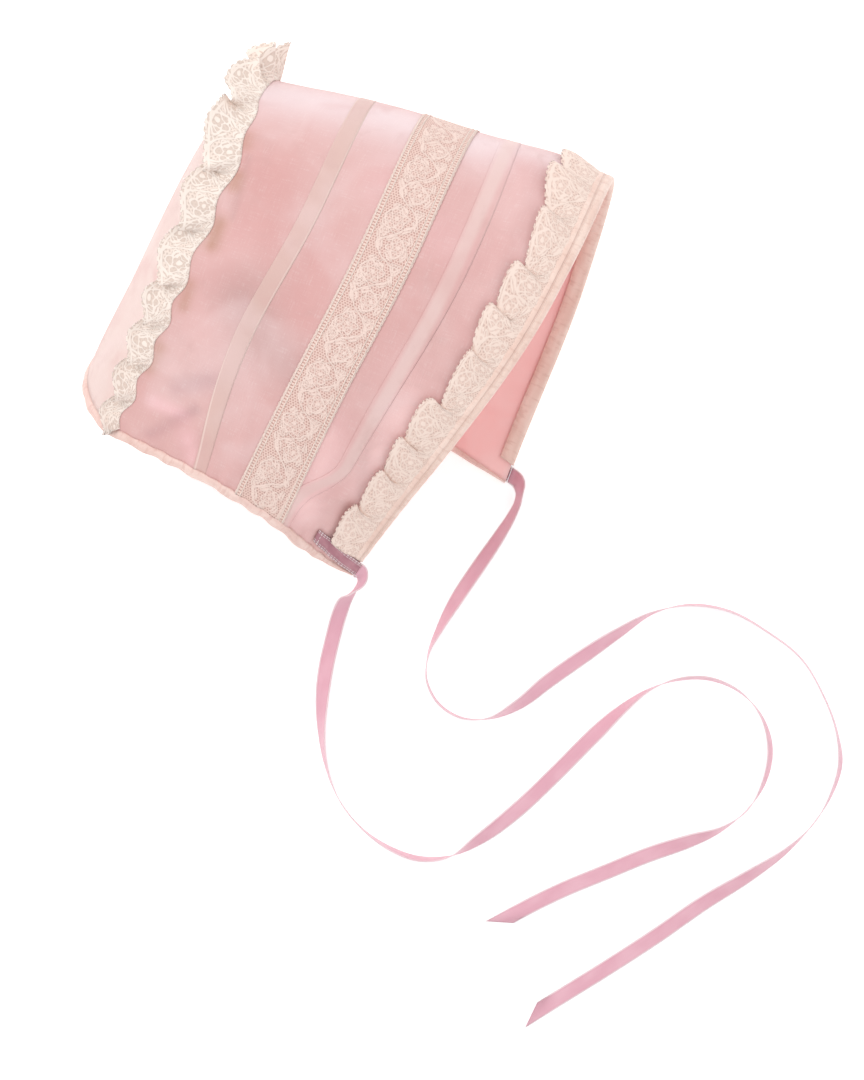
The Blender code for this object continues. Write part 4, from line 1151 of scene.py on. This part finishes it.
offsets = frill["foot"] + (0.5 * t + pleats) * raised[:, None] + lift[:, None] * arch
points = toWorld(layer(depths, around, np.maximum(offsets, frill["foot"])))
lay = frillLay(lengthsAlong(cloth(frill["base"], aroundFrill)), t, frill)
faceFrill = clothPiece("face_frill", points, faceLace, "face_ruffle", frill["wall"], lay=lay)


# the gathered lace on the back seam: how far round the head, where its foot is, its lean backwards,
# its height and how far its waves swing
backFrill = table(
    "Stand", "around foot lean height wave",
    (0.06, 0, 88, 9, 0), (1.00, 0, 86, 9, 0), (1.12, 0, 70, 8, 0.4), (1.26, 0, 50, 7.5, 1.8),
    (1.38, 0, 30, 11.5, 5.5), (1.46, 0, 22, 14, 7.5), (1.6, 0.5, 25, 14.5, 6.5),
    (1.72, 1.5, 52, 15, 2.4), (1.85, 4, 62, 16, 1.2), (2.00, 5.5, 62, 15, 1), (2.3, 5, 62, 13, 0.9),
    (2.6, 4, 58, 11, 0.8), (2.8, 2.5, 52, 10, 0.7), (2.99, 1.2, 45, 7.5, 0.4),
)
backGather = {
    "rings": 900, "columns": 16, "wall": 0.2, "waveLength": 13,
    # where each lobe starts, round the head
    "lobes": (0.96, 1.08, 1.19, 1.3, 1.42, 1.53, 1.64, 1.78, 2, 2.19, 2.4, 2.56, 2.73, 2.88, 3.02),
    "fold": 0.27,
    "narrow": 0.74,  # its height at the end of a lobe
    "proud": 3.4, "width": 12, "full": 1.5,
    "sway": 1.3,  # how far its foot wanders with each lobe
    "outline": 0.75, "thread": rgb(250, 238, 229), "shade": rgb(240, 222, 211),
    "hole": rgb(218, 198, 186),
}
backLace = frillPaint("backLace", backGather, 0.1)
places = [stand.around for stand in backFrill]
aroundBack = evenlyAround(0, places[0], places[-1], backGather["rings"])
lobes = np.array(backGather["lobes"])
lobe = np.interp(aroundBack, lobes, np.arange(len(lobes)))
held = ramp(aroundBack, 1.1, 0.25)
phase = 2 * math.pi * (lobe - 0.1)
levels = np.linspace(0, 1, backGather["columns"])
folding = backGather["fold"] * (0.35 + 0.65 * ramp(aroundBack, 1.5, 0.25))
pushed = lobe[:, None] - (folding * np.sin(phase) * held)[:, None] * levels**1.2
around = np.interp(pushed, np.arange(len(lobes)), lobes)
around = np.where(aroundBack[:, None] > lobes[0], around, aroundBack[:, None])
rows = smoothCurve(places, [stand[1:] for stand in backFrill], aroundBack)
height, wave = rows[:, 2], np.clip(rows[:, 3], 0, None)
lean = np.radians(np.interp(around, aroundBack, rows[:, 1]))
wander = backGather["sway"] * (1 + np.sin(phase + 2.4)) * ramp(aroundBack, 1.75, 0.1)
footDepth = np.interp(around, aroundBack, rows[:, 0] + wander)
out = outward(cloth, footDepth, around)
backward = unit(cloth(footDepth, around) - cloth(footDepth + 1, around))
up = out * np.cos(lean)[..., None] + backward * np.sin(lean)[..., None]
sideways = backward * np.cos(lean)[..., None] - out * np.sin(lean)[..., None]
foot = layer(footDepth, around, 0.12) + out * (np.sin(lean) * 0.1)[..., None]
run = lengthsAlong(foot[:, 0])
turn = run / backGather["waveLength"]
turn = turn + 0.18 * np.sin(turn * 1.7) + 0.09 * np.sin(turn * 4.1)
swing = np.sin(2 * math.pi * turn + 0.5) * wave + 0.25 * wave * np.sin(4 * math.pi * turn + 1)
high = (0.5 + 0.5 * np.sin(phase)) * held
pleats = 0.4 * np.cos(phase * 5 + 1.3 * np.sin(lobe * 2.1))[:, None] * (levels * (1.3 - levels))
sway = swing[:, None] * levels**0.8 - (high * backGather["proud"])[:, None] * np.sin(levels * 1.9)
sway = sway - pleats * held[:, None]
full = 0.5 + 0.5 * np.cos(phase - 2.9)
tall = height * (backGather["narrow"] + (1.08 - backGather["narrow"]) * full)
middle = foot + up * (tall[:, None] * levels)[..., None] - sideways * sway[..., None]
middle[..., 2] = np.maximum(middle[..., 2], 0.4)
points, lay = toWorld(middle), frillLay(run, levels, backGather)
wall = backGather["wall"]
backRuffle = clothPiece("back_frill", points, backLace, "seam_ruffle", wall, 0, lay)
print("gathered lace pleated")
